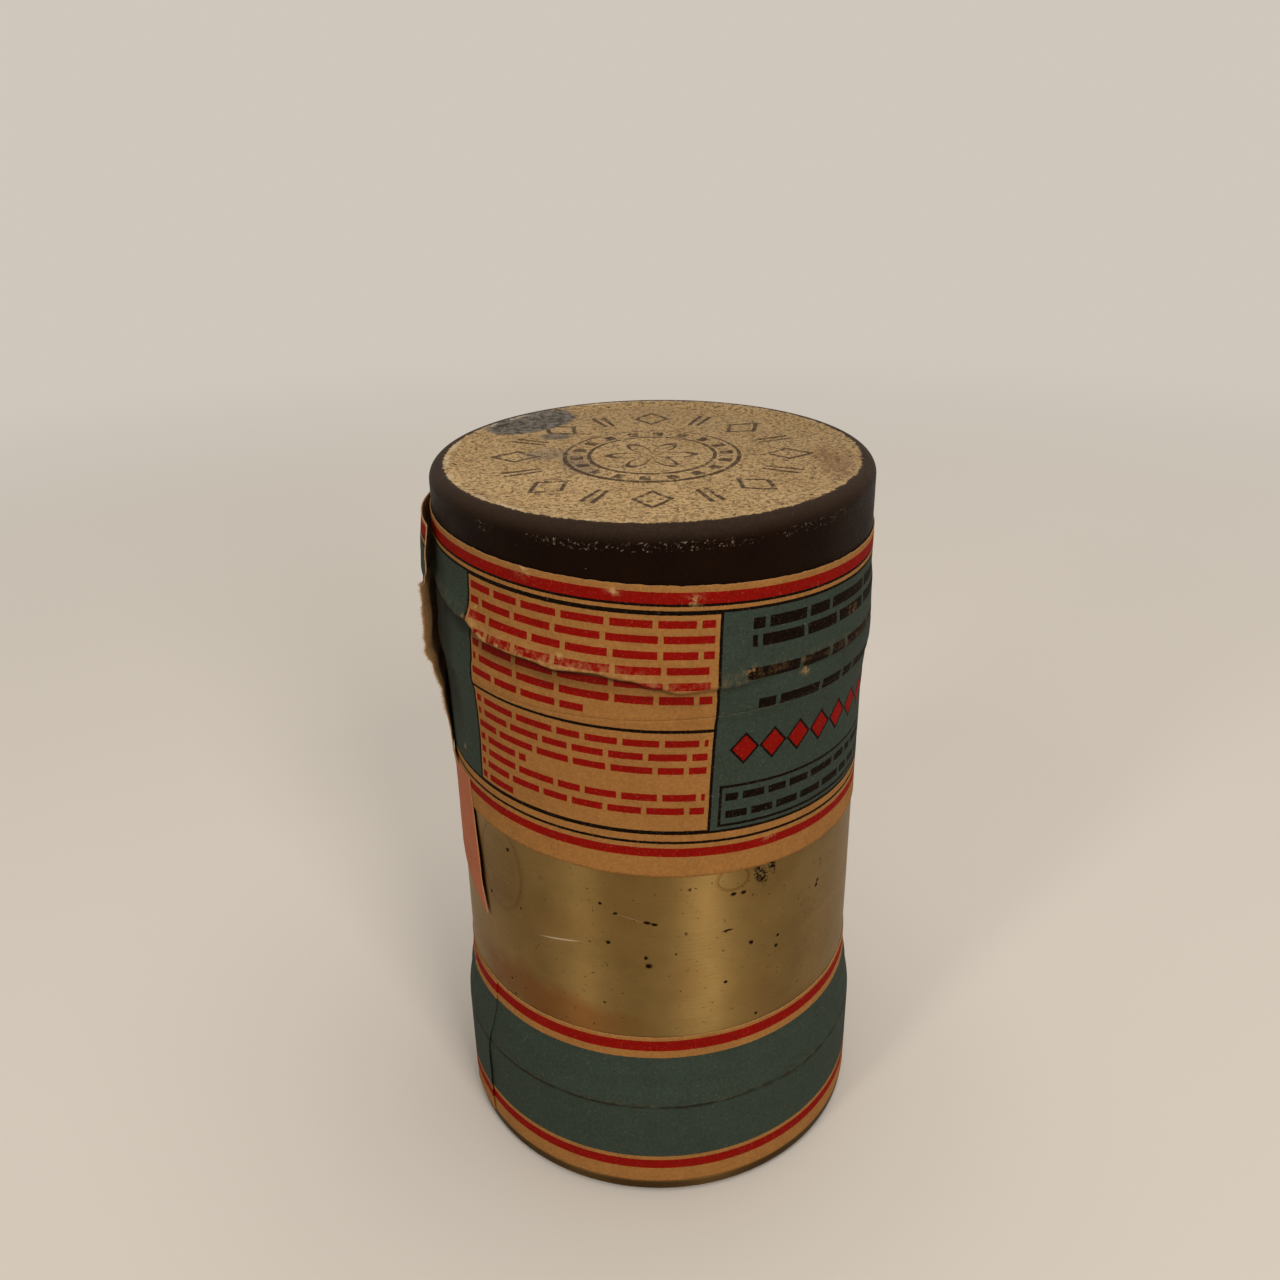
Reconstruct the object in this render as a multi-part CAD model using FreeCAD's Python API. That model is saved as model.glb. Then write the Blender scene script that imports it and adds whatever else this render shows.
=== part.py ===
import FreeCAD, Part
import math
import os

# Bandage tin: a drawn body tube in a base cap, a slip lid with its gasket, two paper
# labels, and the dressings inside. Millimetres, +Z up, origin at the centre of the
# underside, front of the tin towards -Y. Angles are degrees about +Z from +X.

os.makedirs("parts", exist_ok=True)

# Body tube of gold-lacquered tinplate, with a curled rim and an inward lock seam
tube_radius = 37.80
tube_wall = 0.35
tube_top = 131.90
curl_radius = 0.70
curl_sweep = 250.0
seam_angle = 100.0
seam_width = 5.0
seam_thickness = 0.65
seam_groove_width = 0.70
seam_groove_depth = 0.15
solder_gap = 0.01

# Base cap: drawn, necked in at its rim and soldered to the tube
cap_step = 1.60
cap_wall = 0.35
cap_corner = 1.50
cap_shoulder_height = 20.50
cap_neck_rise = 2.70
cap_rim_rise = 1.00
cap_fit = 0.02
bead_inset = 9.40
bead_half_width = 2.20
bead_height = 0.80
joint_leg = 0.45
compound_lap = 0.55
compound_thickness = 0.45

# Lid: shoulder, skirt, wider lead-in band and a hem folded outwards
lid_fit = 0.30
lid_wall = 0.25
lid_depth = 31.00
lid_shoulder = 2.30
lid_crown_width = 2.85
lid_panel_drop = 0.45
lid_panel_ramp = 0.70
lid_ring_radii = (10.80, 14.60)
lid_ring_half_width = 0.45
lid_ring_height = 0.20
lead_in_step = 0.25
lead_in_height = 13.00
lead_in_ramp = 3.00
hem_height = 2.80
gasket_width = 2.20
gasket_thickness = 1.19
gasket_side_gap = 0.70
gasket_gap = 0.08

# Paper labels. The upper label is stuck on crooked: it falls towards +X. Drops are below
# the lid's edge, rises above the base cap's parts
paper = 0.15
paper_gap = 0.03
label_slope = 0.0569
label_top_drop = 8.80
label_cut_drop = 0.40
label_cut_gap = 0.10
label_knee_drop = 2.50
label_knee_lift = 0.45
label_drape_drop = 11.50
label_foot_drop = 30.50
band_foot = 3.00
band_fold_rise = 0.70
band_drape_rise = 9.30
band_head_rise = 12.70
overlap_start_angle = -162.0
overlap_sweep_angle = 15.0

# The lifted end of the upper label. Its free edge from the cut outwards is
# (share of the height, angle, share of the lift)
flap_root_angle = -196.0
flap_root_gap = 0.12
flap_thickness = 0.20
flap_belly = 0.60
flap_cut_gap = 0.10
flap_upper_height = 24.20
flap_lower_height = 23.00
flap_lift = 3.00
flap_upper_edge = ((0.0, -168.0, 0.917), (0.322, -168.0, 0.817), (0.488, -159.0, 0.65),
                   (1.0, -158.0, 0.383))
flap_lower_edge = ((0.0, -168.0, 1.0), (0.217, -166.0, 0.833), (0.478, -163.0, 0.467),
                   (1.0, -158.0, 0.267))

# Torn backing strip over the bare tube: (angle, share of the bare height, from the upper
# label's foot down to the lower label's head)
strip_outline = ((-150.5, -0.228), (-145.6, 0.581), (-157.0, 0.470), (-171.0, 0.256),
                 (-176.0, -0.228))
strip_margin_angle = 1.0

# Dressings and tell-tale inside
liner_fit = 0.30
liner_wall = 0.25
liner_drop = 18.60
inner_gap = 0.15
pad_fit = 0.45
pad_thickness = 5.00
pad_edge = 1.65
disc_thickness = 0.30
roll_slack = 0.87
roll_height = 80.00
roll_count = 3
roll_turn = 30.0
roll_edge = 0.60
wrap_height = 24.00
wrap_centre = 0.55
ampoule_fit = 0.32
ampoule_wall = 0.35
ampoule_length = 58.0
ampoule_neck_radius = 0.90
ampoule_neck_length = 9.0
reagent_fill = 0.75
leaflet_width = 46.0
leaflet_depth = 26.0
leaflet_fold = 0.30
leaflet_folds = 4
leaflet_fit = 1.54
leaflet_turn = 12.0

# Sizes and heights that follow from the values above
tube_inner_radius = tube_radius - tube_wall
cap_radius = tube_radius + cap_step
cap_neck_height = cap_shoulder_height + cap_neck_rise
cap_rim_height = cap_neck_height + cap_rim_rise
bead_radius = cap_radius - bead_inset
cap_floor = cap_wall
tube_foot = cap_floor + compound_thickness + cap_fit
lid_radius = tube_radius + lid_fit + lid_wall
lid_crown_radius = lid_radius - lid_shoulder
lid_panel_radius = lid_crown_radius - lid_crown_width
lead_in_radius = lid_radius + lead_in_step
hem_radius = lead_in_radius + lid_wall
lid_top = tube_top + gasket_thickness + 2 * gasket_gap + lid_wall
lid_bottom = lid_top - lid_depth
lead_in_top = lid_bottom + lead_in_height
lid_inner_top = lid_top - lid_wall
label_top = lid_top - label_top_drop
label_cut = lid_bottom - label_cut_drop
label_foot = lid_bottom - label_foot_drop
edge_fall = 2 * label_slope * cap_radius
band_head = cap_rim_height + band_head_rise
floor_top = cap_floor + bead_height
pad_foot = floor_top + inner_gap
disc_foot = pad_foot + pad_thickness + inner_gap
roll_foot = disc_foot + disc_thickness + inner_gap
roll_top = roll_foot + roll_height
liner_foot = floor_top + inner_gap
liner_radius = tube_inner_radius - seam_thickness - liner_fit
liner_bore = liner_radius - liner_wall
pad_radius = liner_bore - pad_fit

# The rolls stand in a ring that fills the liner's bore, and the ampoule between them
half_step = math.sin(math.pi / roll_count)
wrap_radius = (liner_bore - roll_slack - inner_gap / (2 * half_step)) / (1 + 1 / half_step)
roll_radius = wrap_radius - paper - paper_gap
roll_axis_radius = (wrap_radius + inner_gap / 2) / half_step
ampoule_radius = roll_axis_radius - wrap_radius - ampoule_fit

AXIS = FreeCAD.Vector(0, 0, 1)
ORIGIN = FreeCAD.Vector(0, 0, 0)


def point(radius, height):
    return FreeCAD.Vector(radius, 0, height)


def polar(radius, angle, height):
    turn = math.radians(angle)
    return FreeCAD.Vector(radius * math.cos(turn), radius * math.sin(turn), height)


def straight_edges(corners):
    """Edges that join a list of points in order."""
    return [Part.makeLine(a, b) for a, b in zip(corners, corners[1:])]


def rounded_path(corners, radii):
    """An open path through the corners, each inner corner rounded to its own radius."""
    edges = []
    last = corners[0]
    for before, corner, after, radius in zip(corners, corners[1:], corners[2:], radii):
        if radius == 0:
            edges.append(Part.makeLine(last, corner))
            last = corner
            continue
        back = (before - corner).normalize()
        ahead = (after - corner).normalize()
        half = back.getAngle(ahead) / 2
        reach = radius / math.tan(half)
        middle = corner + (back + ahead).normalize() * (radius / math.sin(half) - radius)
        start = corner + back * reach
        end = corner + ahead * reach
        edges.append(Part.makeLine(last, start))
        edges.append(Part.Arc(start, middle, end).toShape())
        last = end
    edges.append(Part.makeLine(last, corners[-1]))
    return edges


def spin(edges, start=0.0, sweep=360.0):
    """Turn a closed outline about the tin's axis."""
    face = Part.Face(Part.Wire(edges))
    face.rotate(ORIGIN, AXIS, start)
    return face.revolve(ORIGIN, AXIS, sweep)


def spin_corners(corners, start=0.0, sweep=360.0):
    return spin(straight_edges(list(corners) + [corners[0]]), start, sweep)


def ring(inner, outer, low, high, start=0.0, sweep=360.0):
    return spin_corners([point(inner, low), point(outer, low), point(outer, high), point(inner, high)],
                        start, sweep)


def sheet(corners, radii, inward):
    """A wall of even thickness behind an outer path, from its offset copy."""
    outer = Part.Wire(rounded_path(corners, radii))
    return outer.makeOffset2D(inward, 0, True, True)


def spin_sheet(corners, radii, inward):
    section = sheet(corners, radii, inward)
    return section.revolve(ORIGIN, AXIS, 360)


def save(shape, node):
    shape.exportStep("parts/" + node + ".step")


def body_tube():
    """Wall with the rim curled inwards, and the folded lock seam on the inside."""
    wall_top = tube_top - curl_radius
    curl_axis = tube_radius - curl_radius
    edges = [Part.makeLine(point(tube_radius, tube_foot), point(tube_radius, wall_top))]

    def on_curl(turn, radius):
        return point(curl_axis + radius * math.cos(math.radians(turn)),
                     wall_top + radius * math.sin(math.radians(turn)))

    inner_curl = curl_radius - tube_wall
    edges.append(Part.Arc(on_curl(0, curl_radius), on_curl(curl_sweep / 2, curl_radius),
                          on_curl(curl_sweep, curl_radius)).toShape())
    edges.append(Part.makeLine(on_curl(curl_sweep, curl_radius), on_curl(curl_sweep, inner_curl)))
    edges.append(Part.Arc(on_curl(curl_sweep, inner_curl), on_curl(curl_sweep / 2, inner_curl),
                          on_curl(0, inner_curl)).toShape())
    edges.append(Part.makeLine(point(tube_inner_radius, wall_top), point(tube_inner_radius, tube_foot)))
    edges.append(Part.makeLine(point(tube_inner_radius, tube_foot), point(tube_radius, tube_foot)))
    wall = spin(edges)
    seam_sweep = math.degrees(seam_width / tube_radius)
    fold = ring(tube_inner_radius - seam_thickness, tube_inner_radius + tube_wall / 2, tube_foot,
                wall_top - 2 * curl_radius, seam_angle - seam_sweep / 2, seam_sweep)
    return wall.fuse(fold).cut(seam_strip(0.0)).removeSplitter()


def seam_strip(gap):
    """The shallow groove along the seam, or with a gap the solder that fills it."""
    sweep = math.degrees((seam_groove_width - 2 * gap) / tube_radius)
    proud = tube_radius if gap else tube_radius + seam_groove_depth
    return ring(tube_radius - seam_groove_depth + gap, proud, cap_rim_height + joint_leg + gap,
                tube_top - 2 * curl_radius - gap, seam_angle - sweep / 2, sweep)


def base_cap():
    """Floor with a stiffening bead, rounded corner, skirt and necked rim."""
    ramp = bead_height
    neck_radius = tube_radius + cap_fit + cap_wall
    corners = [point(0, 0),
               point(bead_radius - bead_half_width - ramp, 0),
               point(bead_radius - bead_half_width, bead_height),
               point(bead_radius + bead_half_width, bead_height),
               point(bead_radius + bead_half_width + ramp, 0),
               point(cap_radius, 0),
               point(cap_radius, cap_shoulder_height),
               point(neck_radius, cap_neck_height),
               point(neck_radius, cap_rim_height)]
    radii = [cap_wall * 2, cap_wall, cap_wall, cap_wall * 2, cap_corner, cap_wall * 2, cap_wall]
    return spin_sheet(corners, radii, cap_wall)


def base_solder_joint():
    foot = tube_radius + solder_gap
    low = cap_rim_height + solder_gap
    return spin_corners([point(foot, low), point(foot + cap_wall, low), point(foot, low + joint_leg)])


def base_sealing_compound():
    """Ring under the tube's foot that reaches out to the cap's rounded corner."""
    bend = cap_corner - cap_wall
    room = math.sqrt(bend ** 2 - (bend - cap_fit) ** 2)
    outer = cap_radius - cap_corner + room - 2 * cap_fit
    inner = tube_inner_radius - compound_lap
    return ring(inner, outer, cap_floor + cap_fit, cap_floor + compound_thickness)


def lid_cap():
    """Panel with two stamped rings, crown, shoulder, skirt, lead-in band and hem."""
    panel_top = lid_top - lid_panel_drop
    hem_centre = lid_bottom + lid_wall
    corners = [point(0, panel_top)]
    radii = []
    for radius in lid_ring_radii:
        for offset, lift in ((-lid_ring_half_width, 0), (0, lid_ring_height), (lid_ring_half_width, 0)):
            corners.append(point(radius + offset, panel_top + lift))
            radii.append(lid_wall)
    corners += [point(lid_panel_radius, panel_top),
                point(lid_panel_radius + lid_panel_ramp, lid_top),
                point(lid_radius, lid_top),
                point(lid_radius, lead_in_top),
                point(lead_in_radius, lead_in_top - lead_in_ramp),
                point(lead_in_radius, hem_centre)]
    radii += [lid_wall, lid_wall * 2, lid_shoulder, lid_wall * 2, lid_wall * 2]
    shell = spin_sheet(corners, radii, -lid_wall)
    fold = Part.Arc(point(lead_in_radius - lid_wall, hem_centre), point(lead_in_radius, lid_bottom),
                    point(hem_radius, hem_centre)).toShape()
    back = [point(hem_radius, hem_centre), point(hem_radius, lid_bottom + hem_height),
            point(lead_in_radius, lid_bottom + hem_height),
            point(lead_in_radius, hem_centre), point(lead_in_radius - lid_wall, hem_centre)]
    hem = spin([fold] + straight_edges(back))
    return shell.fuse(hem).removeSplitter()


def lid_gasket():
    """Flat rubber ring in the lid's corner, chamfered to clear the shoulder."""
    inner_shoulder = lid_shoulder - lid_wall
    reach = inner_shoulder - gasket_side_gap
    outer = lid_crown_radius + reach
    inner = outer - gasket_width
    side_top = lid_top - lid_shoulder + math.sqrt(inner_shoulder ** 2 - reach ** 2)
    foot = tube_top + gasket_gap
    top = foot + gasket_thickness
    return spin_corners([point(inner, foot), point(outer, foot), point(outer, side_top - gasket_gap),
                         point(lid_crown_radius, top), point(inner, top)])


def tilted_slab(edge_height, above):
    """A block on one side of the upper label's sloping edge."""
    size = 2 * (lid_top + cap_radius)
    low = 0 if above else -size
    block = Part.makeBox(size, size, size, FreeCAD.Vector(-size / 2, -size / 2, low))
    block.rotate(ORIGIN, FreeCAD.Vector(0, 1, 0), math.degrees(math.atan(label_slope)))
    block.translate(FreeCAD.Vector(0, 0, edge_height))
    return block


def paper_wall(inner_corners, layer=0.0):
    """A sheet of paper in front of the corners, given from top to bottom."""
    lift = paper_gap + layer
    inner = [FreeCAD.Vector(c.x + lift, 0, c.z) for c in inner_corners]
    outer = [FreeCAD.Vector(c.x + lift + paper, 0, c.z) for c in reversed(inner_corners)]
    return inner + outer


def label_lid_part():
    """Upper label down to the cut: over the skirt, the lead-in band and the hem."""
    hem_top = lid_bottom + hem_height
    wall = spin_corners(paper_wall([point(lid_radius, lid_top),
                                    point(lid_radius, lead_in_top),
                                    point(lead_in_radius, lead_in_top - lead_in_ramp),
                                    point(lead_in_radius, hem_top + lid_wall * 2),
                                    point(hem_radius, hem_top),
                                    point(hem_radius, label_cut + label_cut_gap / 2)]))
    return wall.cut(tilted_slab(label_top, True))


def drape_corners():
    """Path under the upper label from the cut down: in from the hem to the tube."""
    return [point(lead_in_radius, label_cut - label_cut_gap / 2),
            point(tube_radius + label_knee_lift, lid_bottom - label_knee_drop),
            point(tube_radius, lid_bottom - label_drape_drop),
            point(tube_radius, label_foot - edge_fall)]


def label_body_part():
    return spin_corners(paper_wall(drape_corners())).cut(tilted_slab(label_foot, False))


def radius_on_path(corners, height):
    """Radius at a height of a path whose corners run from top to bottom."""
    for upper, lower in zip(corners, corners[1:]):
        if height >= lower.z:
            share = (upper.z - height) / (upper.z - lower.z)
            return upper.x + (lower.x - upper.x) * share
    return corners[-1].x


def flap_section(root, height, angle, lift):
    """Closed outline across the lifted end of the label at one height."""
    middle_angle = (flap_root_angle + angle) / 2
    middle = root + lift * flap_belly
    outer = [polar(root + flap_thickness, flap_root_angle, height),
             polar(middle + flap_thickness / 2, middle_angle, height),
             polar(root + lift, angle, height)]
    inner = [polar(root + lift - flap_thickness, angle, height),
             polar(middle - flap_thickness / 2, middle_angle, height),
             polar(root, flap_root_angle, height)]
    return Part.Wire([Part.Arc(*outer).toShape(), Part.makeLine(outer[2], inner[0]),
                      Part.Arc(*inner).toShape(), Part.makeLine(inner[2], outer[0])])


def label_flap_upper():
    """Above the cut the flap springs from the label where it covers the hem."""
    root = hem_radius + paper_gap + paper + flap_root_gap
    foot = label_cut + flap_cut_gap
    sections = [flap_section(root, foot + share * flap_upper_height, angle, lift * flap_lift)
                for share, angle, lift in flap_upper_edge]
    return Part.makeLoft(sections, True, True)


def label_flap_lower():
    """Below the cut the flap's root follows the drape of the label."""
    head = label_cut - flap_cut_gap
    sections = []
    for share, angle, lift in flap_lower_edge:
        height = head - share * flap_lower_height
        root = radius_on_path(drape_corners(), height) + paper_gap + paper + flap_root_gap
        sections.append(flap_section(root, height, angle, lift * flap_lift))
    return Part.makeLoft(sections, True, True)


def strip_window(distance):
    """The strip's outline as seen from the tin's axis, at a distance in front of it."""
    bare_height = label_foot - band_head
    corners = []
    for angle, share in strip_outline + strip_outline[:1]:
        across = distance * math.tan(math.radians(angle - strip_face_angle()))
        corners.append(FreeCAD.Vector(distance, across, label_foot - share * bare_height))
    return Part.makePolygon(corners)


def strip_face_angle():
    angles = [angle for angle, share in strip_outline]
    return (min(angles) + max(angles)) / 2


def label_underlay_strip():
    """The torn strip, cut by its outline from a wall that stands off the tube."""
    angles = [angle for angle, share in strip_outline]
    inner = tube_radius + 2 * paper_gap + paper
    wall = ring(inner, inner + paper, band_head, lid_bottom, min(angles) - strip_margin_angle,
                max(angles) - min(angles) + 2 * strip_margin_angle)
    windows = [strip_window(tube_radius / 2), strip_window(hem_radius + flap_lift)]
    cutter = Part.makeLoft(windows, True, True)
    cutter.rotate(ORIGIN, AXIS, strip_face_angle())
    return wall.common(cutter)


def band_corners(low, high):
    """Lower label: round the tube, over the cap's shoulder and down its skirt."""
    return [point(tube_radius, high), point(tube_radius, cap_rim_height + band_drape_rise),
            point(cap_radius, cap_shoulder_height + band_fold_rise), point(cap_radius, low)]


def lower_label_band():
    return spin_corners(paper_wall(band_corners(band_foot, band_head)))


def lower_label_overlap():
    """The end of the lower label, one layer further out."""
    wall = paper_wall(band_corners(band_foot, band_head), paper + paper_gap)
    return spin_corners(wall, overlap_start_angle, overlap_sweep_angle)


def roll_place(index):
    return polar(roll_axis_radius, roll_turn + index * 360 / roll_count, 0)


def round_rims(solid, radius):
    return solid.makeFillet(radius, [edge for edge in solid.Edges if len(edge.Vertexes) == 1])


def bandage_roll(index):
    roll = Part.makeCylinder(roll_radius, roll_height, FreeCAD.Vector(0, 0, roll_foot))
    roll = round_rims(roll, roll_edge)
    roll.translate(roll_place(index))
    return roll


def roll_wrap(index):
    low = roll_foot + wrap_centre * roll_height - wrap_height / 2
    wrap = ring(wrap_radius - paper, wrap_radius, low, low + wrap_height)
    wrap.translate(roll_place(index))
    return wrap


def ampoule_outline(shrink, top):
    """Half outline of the ampoule, or of its inside when shrunk by the glass."""
    radius = ampoule_radius - shrink
    foot = roll_foot + shrink
    shoulder = roll_foot + ampoule_length - ampoule_neck_length
    neck = ampoule_neck_radius - shrink / 2
    bottom = Part.Arc(point(0, foot), point(radius * math.sin(math.pi / 4),
                                            foot + radius * (1 - math.cos(math.pi / 4))),
                      point(radius, foot + radius)).toShape()
    if top < shoulder:
        side = [point(radius, foot + radius), point(radius, top), point(0, top), point(0, foot)]
    else:
        side = [point(radius, foot + radius), point(radius, shoulder - radius), point(neck, shoulder),
                point(neck, top - neck), point(0, top), point(0, foot)]
    return [bottom] + straight_edges(side)


def ampoule_glass():
    """Sealed glass ampoule: closed shell with a drawn neck and tip."""
    tip = roll_foot + ampoule_length
    outside = spin(ampoule_outline(0, tip))
    inside = spin(ampoule_outline(ampoule_wall, tip - ampoule_neck_length / 2))
    return outside.cut(inside)


def ampoule_reagent():
    level = roll_foot + ampoule_length * reagent_fill
    return spin(ampoule_outline(ampoule_wall + solder_gap, level))


def is_front_fold(middle, front):
    """True for the middle of a long edge on the leaflet's front."""
    return abs(middle.y - front) < inner_gap and abs(middle.x) < inner_gap


def folded_leaflet():
    """A sheet folded flat, as thick as its folds, laid on the rolls inside the liner."""
    thickness = leaflet_fold * leaflet_folds
    back = math.sqrt((liner_bore - leaflet_fit) ** 2 - (leaflet_width / 2) ** 2)
    corner = FreeCAD.Vector(-leaflet_width / 2, back - leaflet_depth, roll_top + inner_gap)
    block = Part.makeBox(leaflet_width, leaflet_depth, thickness, corner)
    fold_edges = [edge for edge in block.Edges if is_front_fold(edge.CenterOfMass, corner.y)]
    block = block.makeFillet(thickness / 2 - 2 * paper_gap, fold_edges)
    block.rotate(ORIGIN, AXIS, leaflet_turn)
    return block


save(body_tube(), "body_tube")
save(seam_strip(solder_gap), "side_seam_solder")
save(base_cap(), "base_cap")
save(base_solder_joint(), "base_solder_joint")
save(base_sealing_compound(), "base_sealing_compound")
save(lid_cap(), "lid_cap")
save(lid_gasket(), "lid_gasket")
save(label_lid_part(), "label_lid_part")
save(label_body_part(), "label_body_part")
save(label_flap_upper(), "label_flap_upper")
save(label_flap_lower(), "label_flap_lower")
save(label_underlay_strip(), "label_underlay_strip")
save(lower_label_band(), "lower_label_band")
save(lower_label_overlap(), "lower_label_overlap")
save(ring(liner_bore, liner_radius, liner_foot, tube_top - liner_drop), "liner_sleeve")
base_pad = Part.makeCylinder(pad_radius, pad_thickness, FreeCAD.Vector(0, 0, pad_foot))
save(round_rims(base_pad, pad_edge), "base_cotton_pad")
save(Part.makeCylinder(pad_radius, disc_thickness, FreeCAD.Vector(0, 0, disc_foot)), "base_paper_disc")
for number in range(roll_count):
    save(bandage_roll(number), "bandage_roll_" + str(number + 1))
    save(roll_wrap(number), "roll_wrap_" + str(number + 1))
save(ampoule_glass(), "ampoule_glass")
save(ampoule_reagent(), "ampoule_reagent")
save(folded_leaflet(), "folded_leaflet")
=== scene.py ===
import math
from functools import reduce

import bpy
import bmesh
from mathutils import Matrix, Vector, noise


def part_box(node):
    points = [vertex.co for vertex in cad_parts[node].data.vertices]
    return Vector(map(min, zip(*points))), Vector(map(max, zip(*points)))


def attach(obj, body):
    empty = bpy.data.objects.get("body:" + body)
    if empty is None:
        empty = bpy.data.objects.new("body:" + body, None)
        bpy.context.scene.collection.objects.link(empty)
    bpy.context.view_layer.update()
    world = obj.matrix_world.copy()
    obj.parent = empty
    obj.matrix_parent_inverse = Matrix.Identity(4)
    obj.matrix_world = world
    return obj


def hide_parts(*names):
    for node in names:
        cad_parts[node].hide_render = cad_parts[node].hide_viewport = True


# Bandage tin: lacquered tinplate, two printed paper labels, and the dressings inside.
# Lengths are millimetres in the tables of sizes and metres in the meshes.

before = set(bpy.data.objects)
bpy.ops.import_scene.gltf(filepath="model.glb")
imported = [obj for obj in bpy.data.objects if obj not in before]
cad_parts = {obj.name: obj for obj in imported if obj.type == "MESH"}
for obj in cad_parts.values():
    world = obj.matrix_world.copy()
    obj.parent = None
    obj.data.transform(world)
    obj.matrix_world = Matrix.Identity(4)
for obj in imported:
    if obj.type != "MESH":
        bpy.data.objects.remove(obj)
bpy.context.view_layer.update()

MM = 0.001
TAU = 2 * math.pi
SEGMENTS = 360

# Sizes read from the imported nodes, in millimetres
def node_size(node):
    low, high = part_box(node)
    return high.x / MM, low.z / MM, high.z / MM


tube_radius, tube_foot, tube_top = node_size("body_tube")
cap_radius, cap_foot, cap_rim = node_size("base_cap")
hem_radius, lid_foot, lid_top = node_size("lid_cap")
band_outer, band_foot, band_head = node_size("lower_label_band")
label_outer, label_cut_high, label_high = node_size("label_lid_part")
label_low = node_size("label_body_part")[1]
label_cut_low = node_size("label_body_part")[2]
gasket_radius, gasket_foot, gasket_top = node_size("lid_gasket")

# Sheet and paper, as the construction has them
PAPER = 0.15
LID_WALL = 0.25
SKIRT_RADIUS = hem_radius - 0.50
LEAD_IN_RADIUS = hem_radius - LID_WALL

# The upper label is stuck on crooked: its edges fall towards +X
LABEL_SLOPE = 0.0569
LABEL_LEAN = 0.045
LABEL_TOP = 124.7
LABEL_FOOT = 72.0
LABEL_MIDDLE = 98.0
PRINT_RADIUS = 38.0


# Mesh helpers
def new_object(name, verts, faces, materials, face_materials=None, uvs=None, smooth=True):
    """A mesh object at the origin, with points in millimetres turned into metres."""
    mesh = bpy.data.meshes.new(name)
    mesh.from_pydata([(x * MM, y * MM, z * MM) for x, y, z in verts], [], faces)
    for material in materials:
        mesh.materials.append(material)
    if face_materials:
        mesh.polygons.foreach_set("material_index", face_materials)
    if uvs:
        layer = mesh.uv_layers.new(name="UVMap")
        layer.data.foreach_set("uv", [value for uv in uvs for value in uv])
    mesh.polygons.foreach_set("use_smooth", [smooth] * len(mesh.polygons))
    mesh.update()
    piece = bpy.data.objects.new(name, mesh)
    bpy.context.scene.collection.objects.link(piece)
    return piece


def polar(radius, angle):
    turn = math.radians(angle)
    return radius * math.cos(turn), radius * math.sin(turn)


def lathe(name, profile, materials, inside_from=None, segments=SEGMENTS, bump=None):
    """Turns a profile of (radius, height) points about +Z. Points on the axis become poles.
    From the step inside_from on, faces take the second material."""
    verts = []
    rings = []
    for radius, height in profile:
        if radius < 1e-6:
            rings.append([len(verts)])
            verts.append((0.0, 0.0, height))
            continue
        rings.append(list(range(len(verts), len(verts) + segments)))
        for k in range(segments):
            angle = 360 * k / segments
            r, z = bump(radius, angle, height) if bump else (radius, height)
            verts.append((*polar(r, angle), z))
    faces = []
    slots = []
    for step, (low, high) in enumerate(zip(rings, rings[1:])):
        for k in range(segments):
            after = (k + 1) % segments
            if len(low) == 1:
                face = (low[0], high[after], high[k])
            elif len(high) == 1:
                face = (low[k], low[after], high[0])
            else:
                face = (low[k], low[after], high[after], high[k])
            faces.append(face)
            slots.append(1 if inside_from is not None and step >= inside_from else 0)
    piece = new_object(name, verts, faces, materials, slots)
    close_up(piece)
    return piece


def close_up(piece):
    """Merges doubled points and turns every face outwards."""
    work = bmesh.new()
    work.from_mesh(piece.data)
    bmesh.ops.remove_doubles(work, verts=work.verts, dist=1e-7)
    bmesh.ops.recalc_face_normals(work, faces=work.faces)
    work.to_mesh(piece.data)
    work.free()


def arc(centre, radius, start, end, steps):
    """Points on an arc in the profile plane, angles from the outward direction."""
    points = []
    for k in range(steps + 1):
        turn = math.radians(start + (end - start) * k / steps)
        points.append((centre[0] + radius * math.cos(turn), centre[1] + radius * math.sin(turn)))
    return points


def between(start, end, steps):
    """Points from start up to but not including end."""
    return [tuple(a + (b - a) * k / steps for a, b in zip(start, end)) for k in range(steps)]


def curve_value(table, at):
    """Smooth reading of a short table of (place, value) pairs."""
    if at <= table[0][0]:
        return table[0][1]
    for (x0, y0), (x1, y1) in zip(table, table[1:]):
        if at <= x1:
            t = (at - x0) / (x1 - x0)
            return y0 + (y1 - y0) * t * t * (3 - 2 * t)
    return table[-1][1]


def wave(x, y, z=0.0, size=10.0):
    """Smooth noise from -1 to 1 whose bumps are about size millimetres across."""
    return noise.noise(Vector((x / size, y / size, z / size)))


def offset_inwards(place, s, t, thickness):
    """The point behind a sheet's outer face, along the face's own normal."""
    def spot(a, b):
        angle, radius, height = place(a, b)
        x, y = polar(radius, angle)
        return Vector((x, y, height))
    step = 0.004
    across = spot(min(1, s + step), t) - spot(max(0, s - step), t)
    up = spot(s, min(1, t + step)) - spot(s, max(0, t - step))
    return spot(s, t) - across.cross(up).normalized() * thickness


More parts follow.
